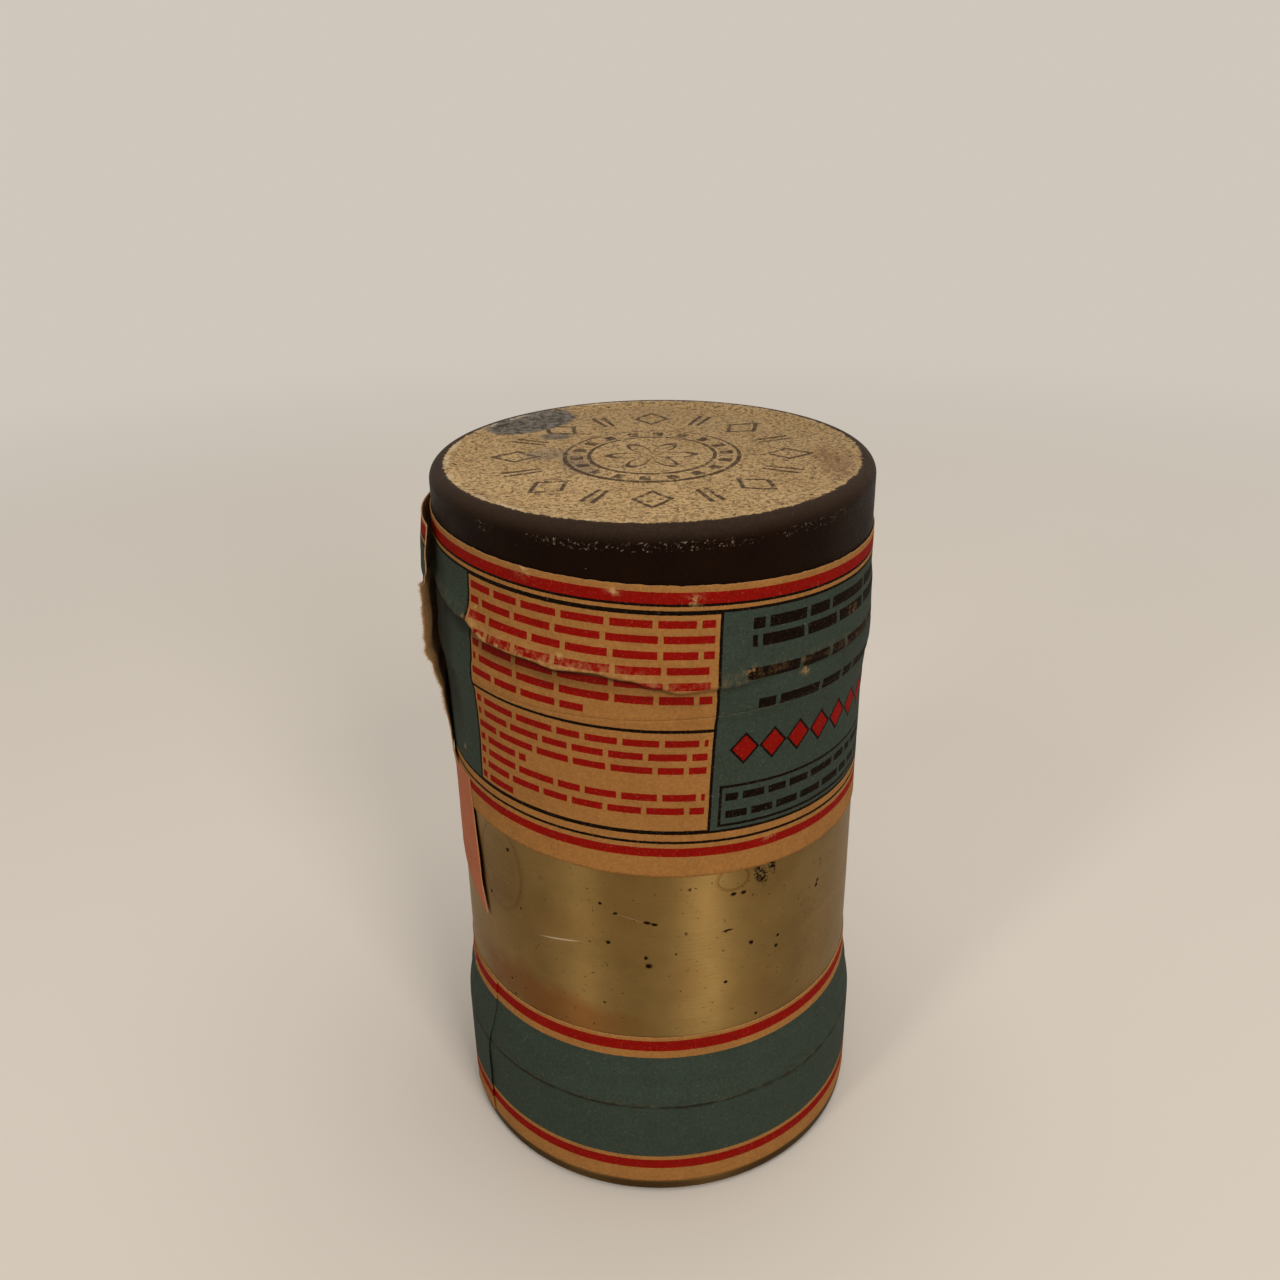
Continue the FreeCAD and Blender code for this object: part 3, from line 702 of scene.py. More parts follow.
label_print = printed_paper("upper_label_print", upper_label_ink)
band_print = printed_paper("lower_label_print", lower_label_ink)
torn_back = plain_paper("torn_label_back", "#C09464", "#7A5430")
strip_paper = plain_paper("orange_backing_paper", "#B0623E", "#8A4728")
parchment = plain_paper("parchment_paper", "#CDB88A", "#A9915F", 0.5)
wrap_paper = plain_paper("wrapping_paper", "#BDB49A", "#9A8F72")
leaflet_paper = plain_paper("leaflet_paper", "#CFC0A0", "#AC9A74")
gold = gold_lacquered_tinplate()
lid_paint = lid_lacquers()
gauze = woven_gauze()
cotton = soft_cotton("cotton_wool", "#EFEBE0", "#CFC8B6", 1.5)
rubber = aged_rubber()
solder = soft_solder()
glass = drawn_glass()
dye = indicator_dye()


# Geometry Nodes
def new_tree(name, sockets):
    """A tree with named inputs, given as {name: socket type}, and one geometry output."""
    tree = bpy.data.node_groups.new(name, "GeometryNodeTree")
    for socket, kind in sockets.items():
        tree.interface.new_socket(socket, in_out="INPUT", socket_type="NodeSocket" + kind)
    tree.interface.new_socket("Geometry", in_out="OUTPUT", socket_type="NodeSocketGeometry")
    return tree, tree.nodes.new("NodeGroupInput").outputs


def run_tree(name, mesh, tree, values):
    """The mesh as the tree changes it, as an object without a modifier."""
    piece = bpy.data.objects.new(name, mesh)
    bpy.context.scene.collection.objects.link(piece)
    modifier = piece.modifiers.new(tree.name, "NODES")
    modifier.node_group = tree
    for item in tree.interface.items_tree:
        if item.name in values:
            modifier[item.identifier] = values[item.name]
    graph = bpy.context.evaluated_depsgraph_get()
    made = bpy.data.meshes.new_from_object(piece.evaluated_get(graph))
    piece.modifiers.remove(modifier)
    piece.data = made
    return piece


def torn_fibres():
    """Short fibres that stand out of a torn paper edge, where its value "lip" is high."""
    tree, given = new_tree("torn_fibres", {"Paper": "Geometry", "Spacing": "Float", "Length": "Float",
                                           "Thickness": "Float", "Seed": "Int", "Fibre": "Material"})
    lip = add(tree, "GeometryNodeInputNamedAttribute", {"Name": "lip"}, data_type="FLOAT")
    density = add(tree, "Math", [given["Spacing"], -2.0], operation="POWER")
    roots = add(tree, "GeometryNodeDistributePointsOnFaces",
                {"Mesh": given["Paper"], "Selection": lip, "Density": density, "Seed": given["Seed"]})
    fibre = add(tree, "GeometryNodeMeshCone", {"Vertices": 4, "Side Segments": 2, "Radius Top": 0.0,
                                               "Radius Bottom": given["Thickness"], "Depth": given["Length"]})
    outward = add(tree, "VectorMath", [add(tree, "GeometryNodeInputPosition"), (1, 1, 0)], operation="MULTIPLY")
    straight = add(tree, "VectorMath", [outward], operation="NORMALIZE")
    stray = add(tree, "FunctionNodeRandomValue", {0: (-0.9, -0.9, -0.9), 1: (0.9, 0.9, 0.5), "Seed": given["Seed"]},
                data_type="FLOAT_VECTOR")
    towards = add(tree, "VectorMath", [straight, stray], operation="ADD")
    turn = add(tree, "FunctionNodeAlignRotationToVector", {"Vector": towards}, axis="Z")
    share = add(tree, "FunctionNodeRandomValue", {2: 0.3, 3: 1.0, "Seed": given["Seed"]}, 1, data_type="FLOAT")
    standing = add(tree, "GeometryNodeInstanceOnPoints",
                   {"Points": roots, "Instance": fibre, "Rotation": turn, "Scale": share})
    plain = add(tree, "GeometryNodeRealizeInstances", [standing])
    finished = add(tree, "GeometryNodeSetMaterial", {"Geometry": plain, "Material": given["Fibre"]})
    whole = tree.nodes.new("GeometryNodeJoinGeometry")
    tree.links.new(finished, whole.inputs[0])
    tree.links.new(given["Paper"], whole.inputs[0])
    add(tree, "NodeGroupOutput", [whole.outputs[0]], None)
    return tree


def wound_cloth():
    """A strip of gauze wound on itself into a roll that stands upright on its edge."""
    tree, given = new_tree("wound_cloth", {"Radius": "Float", "Width": "Float", "Pitch": "Float",
                                           "Cloth": "Float", "Softness": "Float", "Seed": "Int",
                                           "Gauze": "Material"})
    turns = add(tree, "Math", [given["Radius"], given["Pitch"]], operation="DIVIDE")
    path = add(tree, "GeometryNodeCurveSpiral", {"Resolution": 72, "Rotations": turns, "Start Radius": 0.0004,
                                                 "End Radius": given["Radius"], "Height": 0.0})
    upright = add(tree, "GeometryNodeSetCurveNormal", {"Curve": path}, mode="Z_UP")
    length = add(tree, "GeometryNodeSplineParameter", out=1)
    measured = add(tree, "GeometryNodeStoreNamedAttribute", {"Geometry": upright, "Name": "along", "Value": length},
                   data_type="FLOAT", domain="POINT")
    edge = add(tree, "GeometryNodeCurvePrimitiveQuadrilateral", {"Width": given["Cloth"], "Height": given["Width"]})
    section = add(tree, "GeometryNodeSubdivideCurve", {"Curve": edge, "Cuts": 3})
    strip = add(tree, "GeometryNodeCurveToMesh", {"Curve": measured, "Profile Curve": section, "Fill Caps": True})
    place = add(tree, "GeometryNodeInputPosition")
    along = add(tree, "GeometryNodeInputNamedAttribute", {"Name": "along"}, data_type="FLOAT")
    level = add(tree, "SeparateXYZ", [place], 2)
    flat = add(tree, "VectorMath", {0: add(tree, "CombineXYZ", [along, level]), 3: 1 / MM}, operation="SCALE")
    mapped = add(tree, "GeometryNodeStoreNamedAttribute", {"Geometry": strip, "Name": "UVMap", "Value": flat},
                 data_type="FLOAT2", domain="CORNER")
    ripple = add(tree, "TexNoise", {0: place, 1: given["Seed"], 2: 160.0, 3: 2.0}, 1, noise_dimensions="4D")
    centred = add(tree, "VectorMath", [ripple, (0.5, 0.5, 0.5)], operation="SUBTRACT")
    shift = add(tree, "VectorMath", {0: centred, 3: given["Softness"]}, operation="SCALE")
    soft = add(tree, "GeometryNodeSetPosition", {"Geometry": mapped, "Offset": shift})
    plain = add(tree, "GeometryNodeRealizeInstances", [soft])
    finished = add(tree, "GeometryNodeSetMaterial", {"Geometry": plain, "Material": given["Gauze"]})
    add(tree, "NodeGroupOutput", [finished], None)
    return tree


def finish_piece(piece, body, slot, *nodes):
    """What every finished piece is told: its body and the nodes it stands for; its finish, slot, is not used."""
    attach(piece, body)
    if nodes:
        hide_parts(*nodes)
    return piece


def at_angle(angle):
    """Where an angle on the tin falls in the print's own width."""
    return math.radians(angle) * PRINT_RADIUS


# Upper label, cut level with the lid's edge so that the lid can leave the tin
CUT_LOW = (label_cut_low + label_cut_high) / 2 - 0.006
CUT_HIGH = CUT_LOW + 0.012
# Crest of the pleat that the paper has made where it slid down over the lid's edge:
# (angle, height), and how far it stands out there
SEAM_ANGLE = -164
LABEL_COLUMNS = 560
FOLD_LINE = ((-164, 115.6), (-152, 114.6), (-142, 113.6), (-133, 111.6), (-122, 110.9), (-111, 110.4),
             (-105, 110.2), (-96, 109.6), (-90, 108.2), (-84, 107.2), (-75, 107.2), (-54, 108.4),
             (-33, 107.2), (0, 106.4), (90, 106.4), (196, 115.6))
FOLD_LIFT = ((-164, 0.6), (-145, 1.1), (-118, 1.0), (-95, 0.65), (-80, 0.45), (-60, 0.22), (-30, 0.26),
             (0, 0.12), (150, 0.12), (196, 0.6))
# Rubbed spots on the print, as (angle, height, half width in millimetres)
SCUFFS = ((-120, 125.6, 1.6), (-99, 123.7, 0.9), (-81, 122.0, 1.1), (-67.5, 109.3, 0.9), (-51.7, 106.4, 0.7),
          (-32.5, 112.8, 1.0), (-152, 85.8, 0.4), (-112, 112.2, 0.8), (-137, 116.2, 0.7), (-60, 76.4, 0.9))
SECOND_FOLD = ((-125, 115.6), (-111, 114.9), (-102, 114.0), (-91, 113.3), (-82, 111.1), (-76, 109.9))


def fold_distance(angle, height):
    """Height above the pleat's crest, which wavers a little."""
    return height - curve_value(FOLD_LINE, angle) - 0.45 * wave(angle * 0.66, 0, 0, 6.0)


def fold_relief(angle, height):
    """Bulge of the paper above the crest, the sharp step in below it, and a softer fold."""
    above = fold_distance(angle, height)
    lift = curve_value(FOLD_LIFT, angle)
    if above > 0:
        main = lift * math.exp(-(above / 2.0) ** 1.4)
    else:
        main = lift * (1.3 * math.exp(-(above / 0.55) ** 2) - 0.3 * math.exp(-(above / 1.9) ** 2))
    soft = 0.0
    if -128 < angle < -70:
        share = math.sin(math.pi * (angle + 128) / 58)
        soft = 0.16 * share * math.exp(-((height - curve_value(SECOND_FOLD, angle)) / 0.9) ** 2)
    return main + soft


def label_radius(angle, height):
    """Outer face of the upper label: metal under it, drape below the hem, folds and cockles."""
    hem_top = lid_foot + 2.8
    table = ((LABEL_FOOT - 8, tube_radius), (91.0, tube_radius), (95.0, tube_radius + 0.16),
             (100.0, tube_radius + 0.5), (label_cut_low, LEAD_IN_RADIUS + 0.1),
             (lid_foot + 0.3, hem_radius - 0.02), (hem_top - 0.3, hem_radius),
             (hem_top + 1.2, LEAD_IN_RADIUS), (112.5, LEAD_IN_RADIUS), (115.5, SKIRT_RADIUS),
             (lid_top, SKIRT_RADIUS))
    radius = curve_value(table, height) + 0.03 + PAPER
    around = angle * 0.66
    cockle = 0.05 * (1 + wave(around, height, 5.0, 7.0)) + 0.02 * (1 + wave(around, height, 1.0, 2.5))
    creases = 0.06 * max(0.0, wave(around, height * 0.6, 8.0, 5.0)) if 100 < height < 119 else 0.0
    return radius + fold_relief(angle, height) + cockle + creases


def label_uv(angle, height):
    up = height + LABEL_SLOPE * PRINT_RADIUS * math.cos(math.radians(angle))
    return at_angle(angle) - LABEL_LEAN * (up - LABEL_MIDDLE), up


def edge_height(level, angle):
    return level - LABEL_SLOPE * PRINT_RADIUS * math.cos(math.radians(angle))


def crest_wear_and_highlight(angle, height):
    """Paler along the crest, where ink is worn away and a highlight is painted, a broad painted highlight on the
    bulge above it, and worn spots at the scuffs.
    """
    above = fold_distance(angle, height)
    worn = curve_value(((-144, 0.1), (-138, 0.8), (-60, 0.5), (150, 0.5)), angle)
    along = curve_value(FOLD_LIFT, angle) * worn * math.exp(-((above - 0.2) / 0.55) ** 2)
    # Painted highlight on the bulge above the crest.
    bulge = 0.5 * curve_value(FOLD_LIFT, angle) * worn * math.exp(-((above - 1.0) / 0.9) ** 2)
    spots = [math.exp(-(((angle - a) * 0.66) ** 2 + (height - h) ** 2 * 2) / size ** 2) for a, h, size in SCUFFS]
    return max(along, bulge, *spots)


def valley_painted_shade(angle, height):
    """Painted shade below the pleat's crest, and painted shade where the paper is shut in behind the flap."""
    above = fold_distance(angle, height)
    lift = max(0.0, curve_value(FOLD_LIFT, angle) - 0.15)
    # Painted shade: a dark line just under the crest and a broader shade below it, under the overhang.
    line = 1.3 * lift * math.exp(-((above + 0.7) / 0.42) ** 2)
    shade = 0.5 * lift * math.exp(-((above + 2.0) / 1.7) ** 2)
    # Painted shade on the label beside the flap's root.
    turn = (angle + 180) % 360 - 180
    shut_in = curve_value(((-172, 0.0), (-163, 0.75), (-156, 0.6), (-149, 0.0)), turn)
    reach = curve_value(((84, 0.0), (96, 1.0), (110, 1.0), (117, 0.3), (124, 0.0)), height)
    return min(0.85, line + shade + shut_in * reach)


def give_crests_and_valleys(piece, marks, crest, valley):
    give_values(piece, "crest", [crest(*mark) for mark in marks])
    give_values(piece, "valley", [valley(*mark) for mark in marks])


def label_part(name, low, high, rows):
    """A stretch of the upper label between two edges, each a function of the angle."""
    def place(s, t):
        angle = SEAM_ANGLE + 360 * s
        bottom = low(angle)
        return angle, label_radius(angle, bottom + (high(angle) - bottom) * t), bottom + (high(angle) - bottom) * t
    piece, marks = paper_sheet(name, LABEL_COLUMNS, rows, place, [label_print, torn_back], label_uv,
                               closed=True)
    give_crests_and_valleys(piece, marks, crest_wear_and_highlight, valley_painted_shade)
    return piece


def torn(angle, size):
    """Small unevenness of a cut or rubbed paper edge."""
    return size * wave(angle * 0.66, 3.0, 0, 1.6) + 0.5 * size * wave(angle * 0.66, 7.0, 0, 0.5)


lid_label = label_part("label_on_lid", lambda angle: CUT_HIGH,
                       lambda angle: edge_height(LABEL_TOP, angle) + torn(angle, 0.16), 86)
finish_piece(lid_label, "lid", "label_paper", "label_lid_part")
body_label = label_part("label_on_body", lambda angle: edge_height(LABEL_FOOT, angle) + torn(angle, 0.1),
                        lambda angle: CUT_LOW, 70)
finish_piece(body_label, "tin", "label_paper", "label_body_part")


# Lower label
CREASE_HEIGHT = 21.6


def crease_distance(angle, height):
    return height - CREASE_HEIGHT - 0.5 * wave(angle * 0.66, 0, 0, 12.0) - 0.15 * wave(angle * 0.66, 4, 0, 2.0)


def band_radius(angle, height):
    """Outer face of the lower label: over the cap's skirt, creased at its shoulder, and the drape."""
    table = ((3.0, cap_radius), (20.6, cap_radius), (21.6, cap_radius - 0.03), (27.5, tube_radius + 0.78),
             (31.5, tube_radius + 0.18), (34.5, tube_radius), (40.0, tube_radius))
    radius = curve_value(table, height) + 0.03 + PAPER
    dent = 0.09 * math.exp(-(crease_distance(angle, height) / 0.3) ** 2)
    cockle = 0.04 * wave(angle * 0.66, height, 2.0, 6.0) * min(1.0, max(0.0, (height - 21) / 4))
    return radius - dent + cockle


def band_uv(angle, height):
    return at_angle(angle), height


def band_crest(angle, height):
    beside = 0.3 + 0.9 * wave(angle * 0.66, 15.0, 0, 5.0)
    return max(0.0, beside) * 0.3 * math.exp(-((crease_distance(angle, height) - 0.35) / 0.25) ** 2)


def band_valley(angle, height):
    depth = 0.75 + 0.9 * wave(angle * 0.66, 25.0, 0, 2.2)
    return min(0.9, max(0.1, depth)) * math.exp(-(crease_distance(angle, height) / 0.28) ** 2)


def band_place(s, t):
    angle = SEAM_ANGLE + 360 * s
    high = band_head + torn(angle, 0.12)
    low = band_foot + torn(angle + 77, 0.08)
    height = low + (high - low) * t
    return angle, band_radius(angle, height), height


band, band_marks = paper_sheet("lower_label", LABEL_COLUMNS, 84, band_place, [band_print, torn_back],
                               band_uv, closed=True)
give_crests_and_valleys(band, band_marks, band_crest, band_valley)
finish_piece(band, "tin", "label_paper", "lower_label_band")


def overlap_place(s, t):
    height = band_foot + 0.1 + (band_head - band_foot - 0.2) * t
    slit = math.exp(-((height - 13) / 9) ** 2)
    edge = curve_value(((3, -147.0), (19, -147.2), (30, -144.6), (37, -143.8)), height)
    angle = -162 + (edge + 162) * s + (0.5 * wave(height, 0, 0, 4.0)) * s
    lift = 0.04 + 0.30 * slit * max(0.0, (s - 0.75) * 4) ** 2
    return angle, band_radius(angle, height) + 0.03 + PAPER + lift, height


overlap, overlap_marks = paper_sheet("lower_label_end", 28, 96, overlap_place, [band_print, band_print], band_uv)
give_crests_and_valleys(overlap, overlap_marks, band_crest, band_valley)
finish_piece(overlap, "tin", "label_paper", "lower_label_overlap")


# The torn end of the upper label, lifted off the tin: free edge and outermost reach, and
# the width of the torn lip that turns out, each by height
FLAP_ROOT = -196.0
FLAP_END = ((78.0, -159.5), (84.0, -162.5), (92.0, -166.0), (100.0, -168.5), (108.0, -169.5),
            (112.5, -168.0), (115.5, -161.0), (118.0, -158.5), (126.6, -158.0))
FLAP_REACH = ((78.0, 38.6), (82.0, 38.75), (85.0, 38.95), (92.0, 39.6), (97.0, 40.8), (100.0, 41.9),
              (106.0, 41.75), (112.0, 41.6), (116.0, 41.2), (120.0, 41.0), (126.6, 40.3))
FLAP_LIP = ((78.0, 0.1), (88.0, 0.3), (94.0, 0.6), (100.0, 1.2), (106.0, 1.5), (111.0, 1.3), (114.0, 0.4),
            (117.0, 0.0))


def flap_place(low, high):
    def place(s, t):
        height = low + (high - low) * t
        lip = curve_value(FLAP_LIP, height)
        fray = lip * (0.16 * wave(height, 4.0, 0, 1.5) + 0.12 * wave(height, 9.0, 0, 0.45))
        end = curve_value(FLAP_END, height) + 0.25 * wave(height, 2.0, 0, 1.1)
        angle = FLAP_ROOT + (end - FLAP_ROOT) * s
        root = max(label_radius(FLAP_ROOT + 360, height), 38.3) + PAPER + 0.05
        standing = curve_value(FLAP_REACH, height) - lip
        turned = max(0.0, (s - 0.9) / 0.1)
        radius = root + (standing - root) * (1 - (1 - s) ** 2)
        radius += (lip + fray) * turned ** 1.3 + 0.08 * wave(angle, height, 0, 4.0) * s
        return angle, radius, height
    return place


def flap_uv(angle, height):
    return label_uv(angle + 360, height)


def no_wear(angle, height):
    return 0.0


fraying = torn_fibres()


def flap_part(name, low, high, seed):
    """A stretch of the flap, with fibres along its torn lip."""
    piece, marks = paper_sheet(name, 90, 110, flap_place(low, high), [label_print, torn_back], flap_uv, 0.2,
                               curled=True)
    give_crests_and_valleys(piece, marks, no_wear, no_wear)
    give_values(piece, "lip", [1.0 if angle > curve_value(FLAP_END, height) - 1.2
                               and curve_value(FLAP_LIP, height) > 0.3 else 0.0 for angle, height in marks])
    frayed = run_tree(name, piece.data, fraying, {"Spacing": 0.2 * MM, "Length": 0.8 * MM,
                                                  "Thickness": 0.03 * MM, "Seed": seed, "Fibre": torn_back})
    bpy.data.objects.remove(piece)
    return frayed


flap_upper = flap_part("label_flap_above", CUT_HIGH, 126.2, 1)
finish_piece(flap_upper, "lid", "label_paper", "label_flap_upper")
flap_lower = flap_part("label_flap_below", 79.2, CUT_LOW, 2)
finish_piece(flap_lower, "tin", "label_paper", "label_flap_lower")

# Torn orange strip: right edge and lower edge as (height, angle)
STRIP_RIGHT = ((51.6, -145.6), (60.0, -147.4), (80.0, -150.5))


def strip_place(s, t):
    end = curve_value(STRIP_RIGHT, 51.6 + 28.4 * t)
    angle = -176 + (end + 176) * s
    foot = 51.8 + 9.5 * (1 - s) ** 0.8 + 0.5 * wave(angle, 0, 0, 1.5)
    height = foot + (79.8 - foot) * t
    lift = 0.2 * math.exp(-((height - 62) / 9) ** 2) * s ** 3
    return angle, tube_radius + 0.42 + lift + 0.05 * wave(angle, height, 0, 5.0), height


strip, _ = paper_sheet("torn_backing_strip", 40, 60, strip_place, [strip_paper, torn_back], band_uv)
finish_piece(strip, "tin", "backing_paper", "label_underlay_strip")


# Lid
CROWN_RADIUS = SKIRT_RADIUS - 2.3
PANEL_HEIGHT = lid_top - 0.45


def lid_outside():
    """From the centre of the panel over the shoulder and down the skirt to the hem."""
    points = [(0.0, PANEL_HEIGHT)] + between((1.5, PANEL_HEIGHT), (33.0, PANEL_HEIGHT), 60)
    points += between((33.0, PANEL_HEIGHT), (34.1, lid_top - 0.02), 5)
    points += between((34.1, lid_top - 0.02), (CROWN_RADIUS, lid_top), 5)
    points += arc((CROWN_RADIUS, lid_top - 2.3), 2.3, 90, 0, 14)
    points += between((SKIRT_RADIUS, lid_top - 2.6), (SKIRT_RADIUS, 115.6), 16)
    points += [(LEAD_IN_RADIUS, 112.4), (LEAD_IN_RADIUS, lid_foot + 3.0), (hem_radius, lid_foot + 2.7)]
    return points + arc((LEAD_IN_RADIUS, lid_foot + LID_WALL), LID_WALL, 0, -180, 8)


def lid_inside():
    """Back up behind the skirt and under the panel."""
    points = [(LEAD_IN_RADIUS - LID_WALL, 112.3), (SKIRT_RADIUS - LID_WALL, 115.5)]
    points += arc((CROWN_RADIUS, lid_top - 2.3), 2.3 - LID_WALL, 0, 90, 10)
    under = PANEL_HEIGHT - LID_WALL
    return points + [(34.1, lid_top - LID_WALL), (33.0, under), (0.0, under)]


def lid_dents(radius, angle, height):
    """Slight dishing and small dents in the panel; the stamped rings stand proud."""
    if radius < 33.5 and height > 132.9:
        x, y = polar(radius, angle)
        dish = 0.06 * wave(x, y, 0, 16.0) + 0.02 * wave(x, y, 4.0, 4.0)
        ring = sum(0.16 * math.exp(-((radius - r) / 0.45) ** 2) for r in (10.8, 14.6))
        edge = min(1.0, (33.5 - radius) / 4)
        return radius, height + (dish - 0.05) * edge + ring
    return radius, height


outside = lid_outside()
lid = lathe("lid", outside + lid_inside(), [lid_paint, gold], len(outside), 480, lid_dents)
finish_piece(lid, "lid", "lid_lacquer", "lid_cap")


# Body tube and base
def tube_profile():
    wall_top = tube_top - 0.7
    curl = tube_radius - 0.7
    outside = between((tube_radius, tube_foot), (tube_radius, wall_top), 40)
    outside += arc((curl, wall_top), 0.7, 0, 250, 16)
    outside += arc((curl, wall_top), 0.35, 250, 0, 10)
    return outside + [(tube_radius - 0.35, tube_foot), (tube_radius, tube_foot)]


seam_low, seam_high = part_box("side_seam_solder")
seam_middle = (seam_low + seam_high) / 2
SOLDER_ANGLE = math.degrees(math.atan2(seam_middle.y, seam_middle.x)) % 360


def tube_dings(radius, angle, height):
    """Hand-worn sheet: a groove that shows the seam's solder, and very slight flats and ripples
    in the bare band."""
    groove = 0.09 * math.exp(-((angle - SOLDER_ANGLE) * 0.66 / 0.9) ** 2) if radius > tube_radius - 0.05 else 0.0
    ripple = 0.035 * wave(angle * 0.66, height, 0, 11.0) if 38 < height < 71 else 0.0
    return radius + ripple * (1 - groove / 0.09) - groove, height


tube = lathe("tube", tube_profile(), [gold], None, 480, tube_dings)
finish_piece(tube, "tin", "gold_lacquer", "body_tube")


def cap_profile():
    outside = [(0.0, 0.0), (26.6, 0.0)] + [(27.8, 0.8), (32.2, 0.8), (33.4, 0.0), (36.0, 0.0)]
    outside += arc((cap_radius - 1.5, 1.5), 1.5, -90, 0, 10)
    outside += between((cap_radius, 1.8), (cap_radius, 20.3), 6)
    outside += [(cap_radius - 0.1, 20.8), (tube_radius + 0.45, 23.1), (tube_radius + 0.37, 23.4),
                (tube_radius + 0.37, cap_rim), (tube_radius + 0.02, cap_rim)]
    inside = [(tube_radius + 0.02, 23.2), (cap_radius - 0.35, 20.4), (cap_radius - 0.35, 1.6)]
    inside += arc((cap_radius - 1.5, 1.5), 1.15, 0, -90, 8)
    return outside + inside + [(33.4, 0.35), (32.2, 1.15), (27.8, 1.15), (26.6, 0.35), (0.0, 0.35)]


cap = lathe("base", cap_profile(), [gold], None, 480)
finish_piece(cap, "tin", "gold_lacquer", "base_cap")


# Dressings
ROLL_PITCH = 0.8
GAUZE_THICKNESS = 0.5
ROLL_SOFTNESS = 0.5

winding = wound_cloth()
for number in (1, 2, 3):
    node = "bandage_roll_" + str(number)
    low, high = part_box(node)
    roll = run_tree("gauze_roll_" + str(number), bpy.data.meshes.new(node), winding,
                    {"Radius": (high.x - low.x) / 2 - 0.5 * MM, "Width": high.z - low.z - 0.7 * MM,
                     "Pitch": ROLL_PITCH * MM, "Cloth": GAUZE_THICKNESS * MM,
                     "Softness": ROLL_SOFTNESS * MM, "Seed": number, "Gauze": gauze})
    roll.data.transform(Matrix.Translation((low + high) / 2) @ Matrix.Rotation(number * 2.1, 4, "Z"))
    roll.data.set_sharp_from_angle(angle=math.radians(50))
    finish_piece(roll, "tin", "gauze", node)


def pad_profile(radius, foot, top):
    """A flat pad with soft rounded edges."""
    round_edge = (top - foot) / 2
    profile = [(0.0, foot)] + between((2.0, foot), (radius - round_edge, foot), 16)
    profile += arc((radius - round_edge, foot + round_edge), round_edge, -90, 90, 10)
    profile += between((radius - round_edge, top), (2.0, top), 16)
    return profile + [(0.0, top)]


def pad_fluff(low, high):
    def bump(radius, angle, height):
        x, y = polar(radius, angle)
        puff = 0.35 * (wave(x, y, height, 6.0) - 1) + 0.12 * wave(x, y, height, 1.5)
        middle = (low + high) / 2
        share = 1 + puff / (high - low)
        return radius * (1 + 0.004 * wave(x, y, 0, 5.0)) - 0.3, middle + (height - middle) * share
    return bump


pad_low, pad_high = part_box("base_cotton_pad")
pad = lathe("cotton_pad", pad_profile(pad_high.x / MM - 0.3, pad_low.z / MM, pad_high.z / MM), [cotton], None, 180,
            pad_fluff(pad_low.z / MM, pad_high.z / MM))
finish_piece(pad, "tin", "cotton_wool", "base_cotton_pad")

# Nodes kept as the construction has them, each with its own finish
KEPT = {"side_seam_solder": solder, "base_solder_joint": solder, "base_sealing_compound": rubber,
        "lid_gasket": rubber, "liner_sleeve": parchment, "base_paper_disc": parchment,
        "roll_wrap_1": wrap_paper, "roll_wrap_2": wrap_paper, "roll_wrap_3": wrap_paper,
        "ampoule_glass": glass, "ampoule_reagent": dye, "folded_leaflet": leaflet_paper}
for node, material in KEPT.items():
    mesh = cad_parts[node].data
    mesh.materials.clear()
    mesh.materials.append(material)


# Floor, backdrop, light and camera
BACKDROP = "#CFC7BC"
LIGHT_COLOUR = "#FFFAF4"
SEEN_RAYS = ("Is Camera Ray", "Is Glossy Ray", "Is Transmission Ray")


FLOOR_RADIUS = 3.0
FADE_START = 0.20
FADE_END = 0.75


def seen_rays(tree):
    """1 for what the camera, gloss and glass see, 0 for what lights the object."""
    return any_of(tree, *[add(tree, "LightPath", out=ray) for ray in SEEN_RAYS])


def backdrop():
    """A round floor that takes the object's shadow and fades into the colour around it."""
    material, tree, shader = new_material("pale_backdrop")
    shader.inputs["Base Color"].default_value = colour(BACKDROP)
    shader.inputs["Roughness"].default_value = 0.9
    reach = add(tree, "VectorMath", [add(tree, "TexCoord", out=3)], 1, operation="LENGTH")
    far = add(tree, "MapRange", [reach, FADE_START, FADE_END], interpolation_type="SMOOTHSTEP")
    plain = add(tree, "Emission", [BACKDROP, 1.0])
    mixed = add(tree, "MixShader", [all_of(tree, far, seen_rays(tree)), shader.outputs[0], plain])
    tree.links.new(mixed, tree.nodes["Material Output"].inputs[0])
    edge = [(*polar(FLOOR_RADIUS / MM, angle), 0.0) for angle in range(0, 360, 5)]
    new_object("backdrop", edge, [tuple(range(len(edge)))], [material])


def surround():
    """A dim even light from all round, which camera and gloss see as the backdrop's colour."""
    world = bpy.data.worlds.new("studio")
    bpy.context.scene.world = world
    world.use_nodes = True
    tree = world.node_tree
    light = tree.nodes["Background"].outputs[0]
    light.node.inputs[0].default_value = colour("#F4F2EF")
    light.node.inputs[1].default_value = 0.34
    pale = add(tree, "Background", [BACKDROP, 1.0])
    mixed = add(tree, "MixShader", [seen_rays(tree), light, pale])
    tree.links.new(mixed, tree.nodes["World Output"].inputs[0])


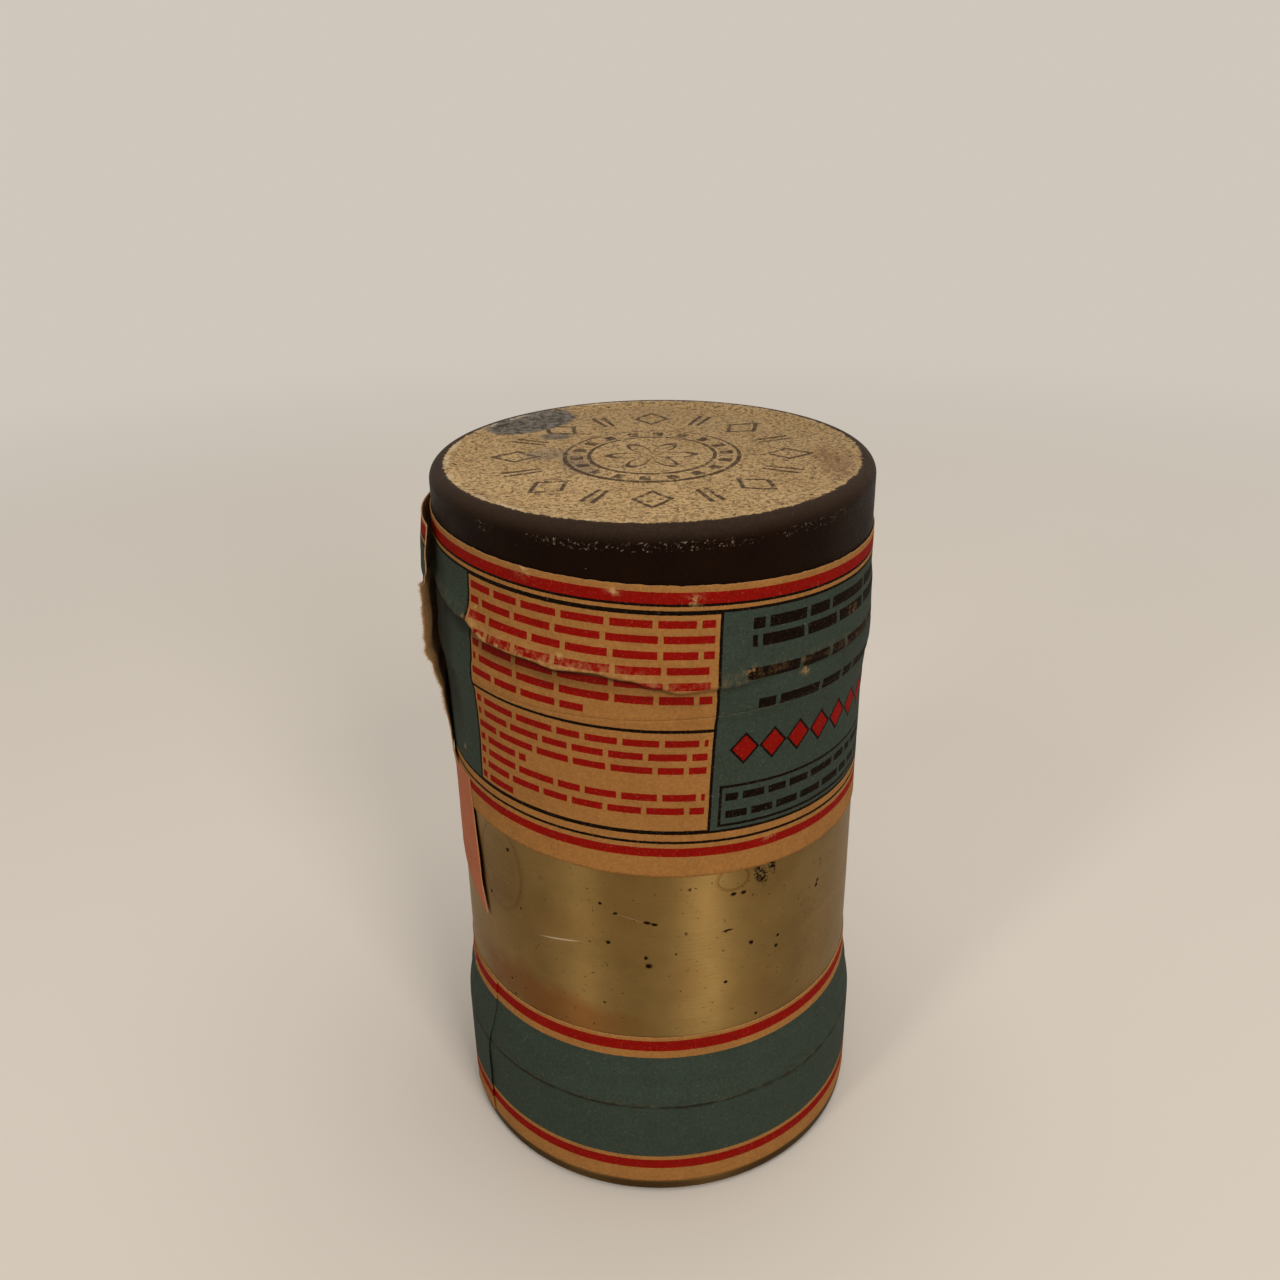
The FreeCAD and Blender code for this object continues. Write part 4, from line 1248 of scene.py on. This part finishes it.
def lights():
    """Two upright soft boxes in front and a wide one overhead."""
    lamps = (("left box", (-0.86, -1.00, 0.80), 0.20, 1.00, 5.0),
             ("right box", (0.56, -1.15, 0.80), 0.40, 1.00, 10.5),
             ("overhead", (0.12, 0.05, 1.15), 1.0, 1.0, 7.0))
    for name, place, width, height, power in lamps:
        lamp = bpy.data.lights.new(name, "AREA")
        lamp.shape = "RECTANGLE"
        lamp.size = width
        lamp.size_y = height
        lamp.energy = power
        lamp.color = colour(LIGHT_COLOUR)[:3]
        holder = bpy.data.objects.new(name, lamp)
        holder.location = place
        aim = Vector((0, 0, 0.06)) - Vector(place)
        holder.rotation_euler = aim.to_track_quat("-Z", "Y").to_euler()
        bpy.context.scene.collection.objects.link(holder)


# The camera's place, turn and focal length, fitted to the tin's own ellipses
CAMERA_BACK = 0.20444
CAMERA_UP = 0.19423
CAMERA_YAW = -0.0129
CAMERA_PITCH = 0.4414
CAMERA_ROLL = -0.0178
FOCAL_PIXELS = 1218.83
FRAME_PIXELS = 1280
SENSOR = 36.0


def camera():
    forward = Vector((math.sin(CAMERA_YAW) * math.cos(CAMERA_PITCH),
                      math.cos(CAMERA_YAW) * math.cos(CAMERA_PITCH), -math.sin(CAMERA_PITCH)))
    right = forward.cross(Vector((0, 0, 1))).normalized()
    up = right.cross(forward)
    turned_right = right * math.cos(CAMERA_ROLL) + up * math.sin(CAMERA_ROLL)
    turned_up = up * math.cos(CAMERA_ROLL) - right * math.sin(CAMERA_ROLL)
    data = bpy.data.cameras.new("camera")
    data.sensor_width = SENSOR
    data.sensor_fit = "HORIZONTAL"
    data.lens = FOCAL_PIXELS / FRAME_PIXELS * SENSOR
    data.clip_start = 0.01
    holder = bpy.data.objects.new("camera", data)
    turn = Matrix((turned_right, turned_up, -forward)).transposed()
    holder.matrix_world = Matrix.Translation((0, -CAMERA_BACK, CAMERA_UP)) @ turn.to_4x4()
    bpy.context.scene.collection.objects.link(holder)
    bpy.context.scene.camera = holder


backdrop()
surround()
lights()
camera()
bpy.context.scene.view_settings.view_transform = "Standard"
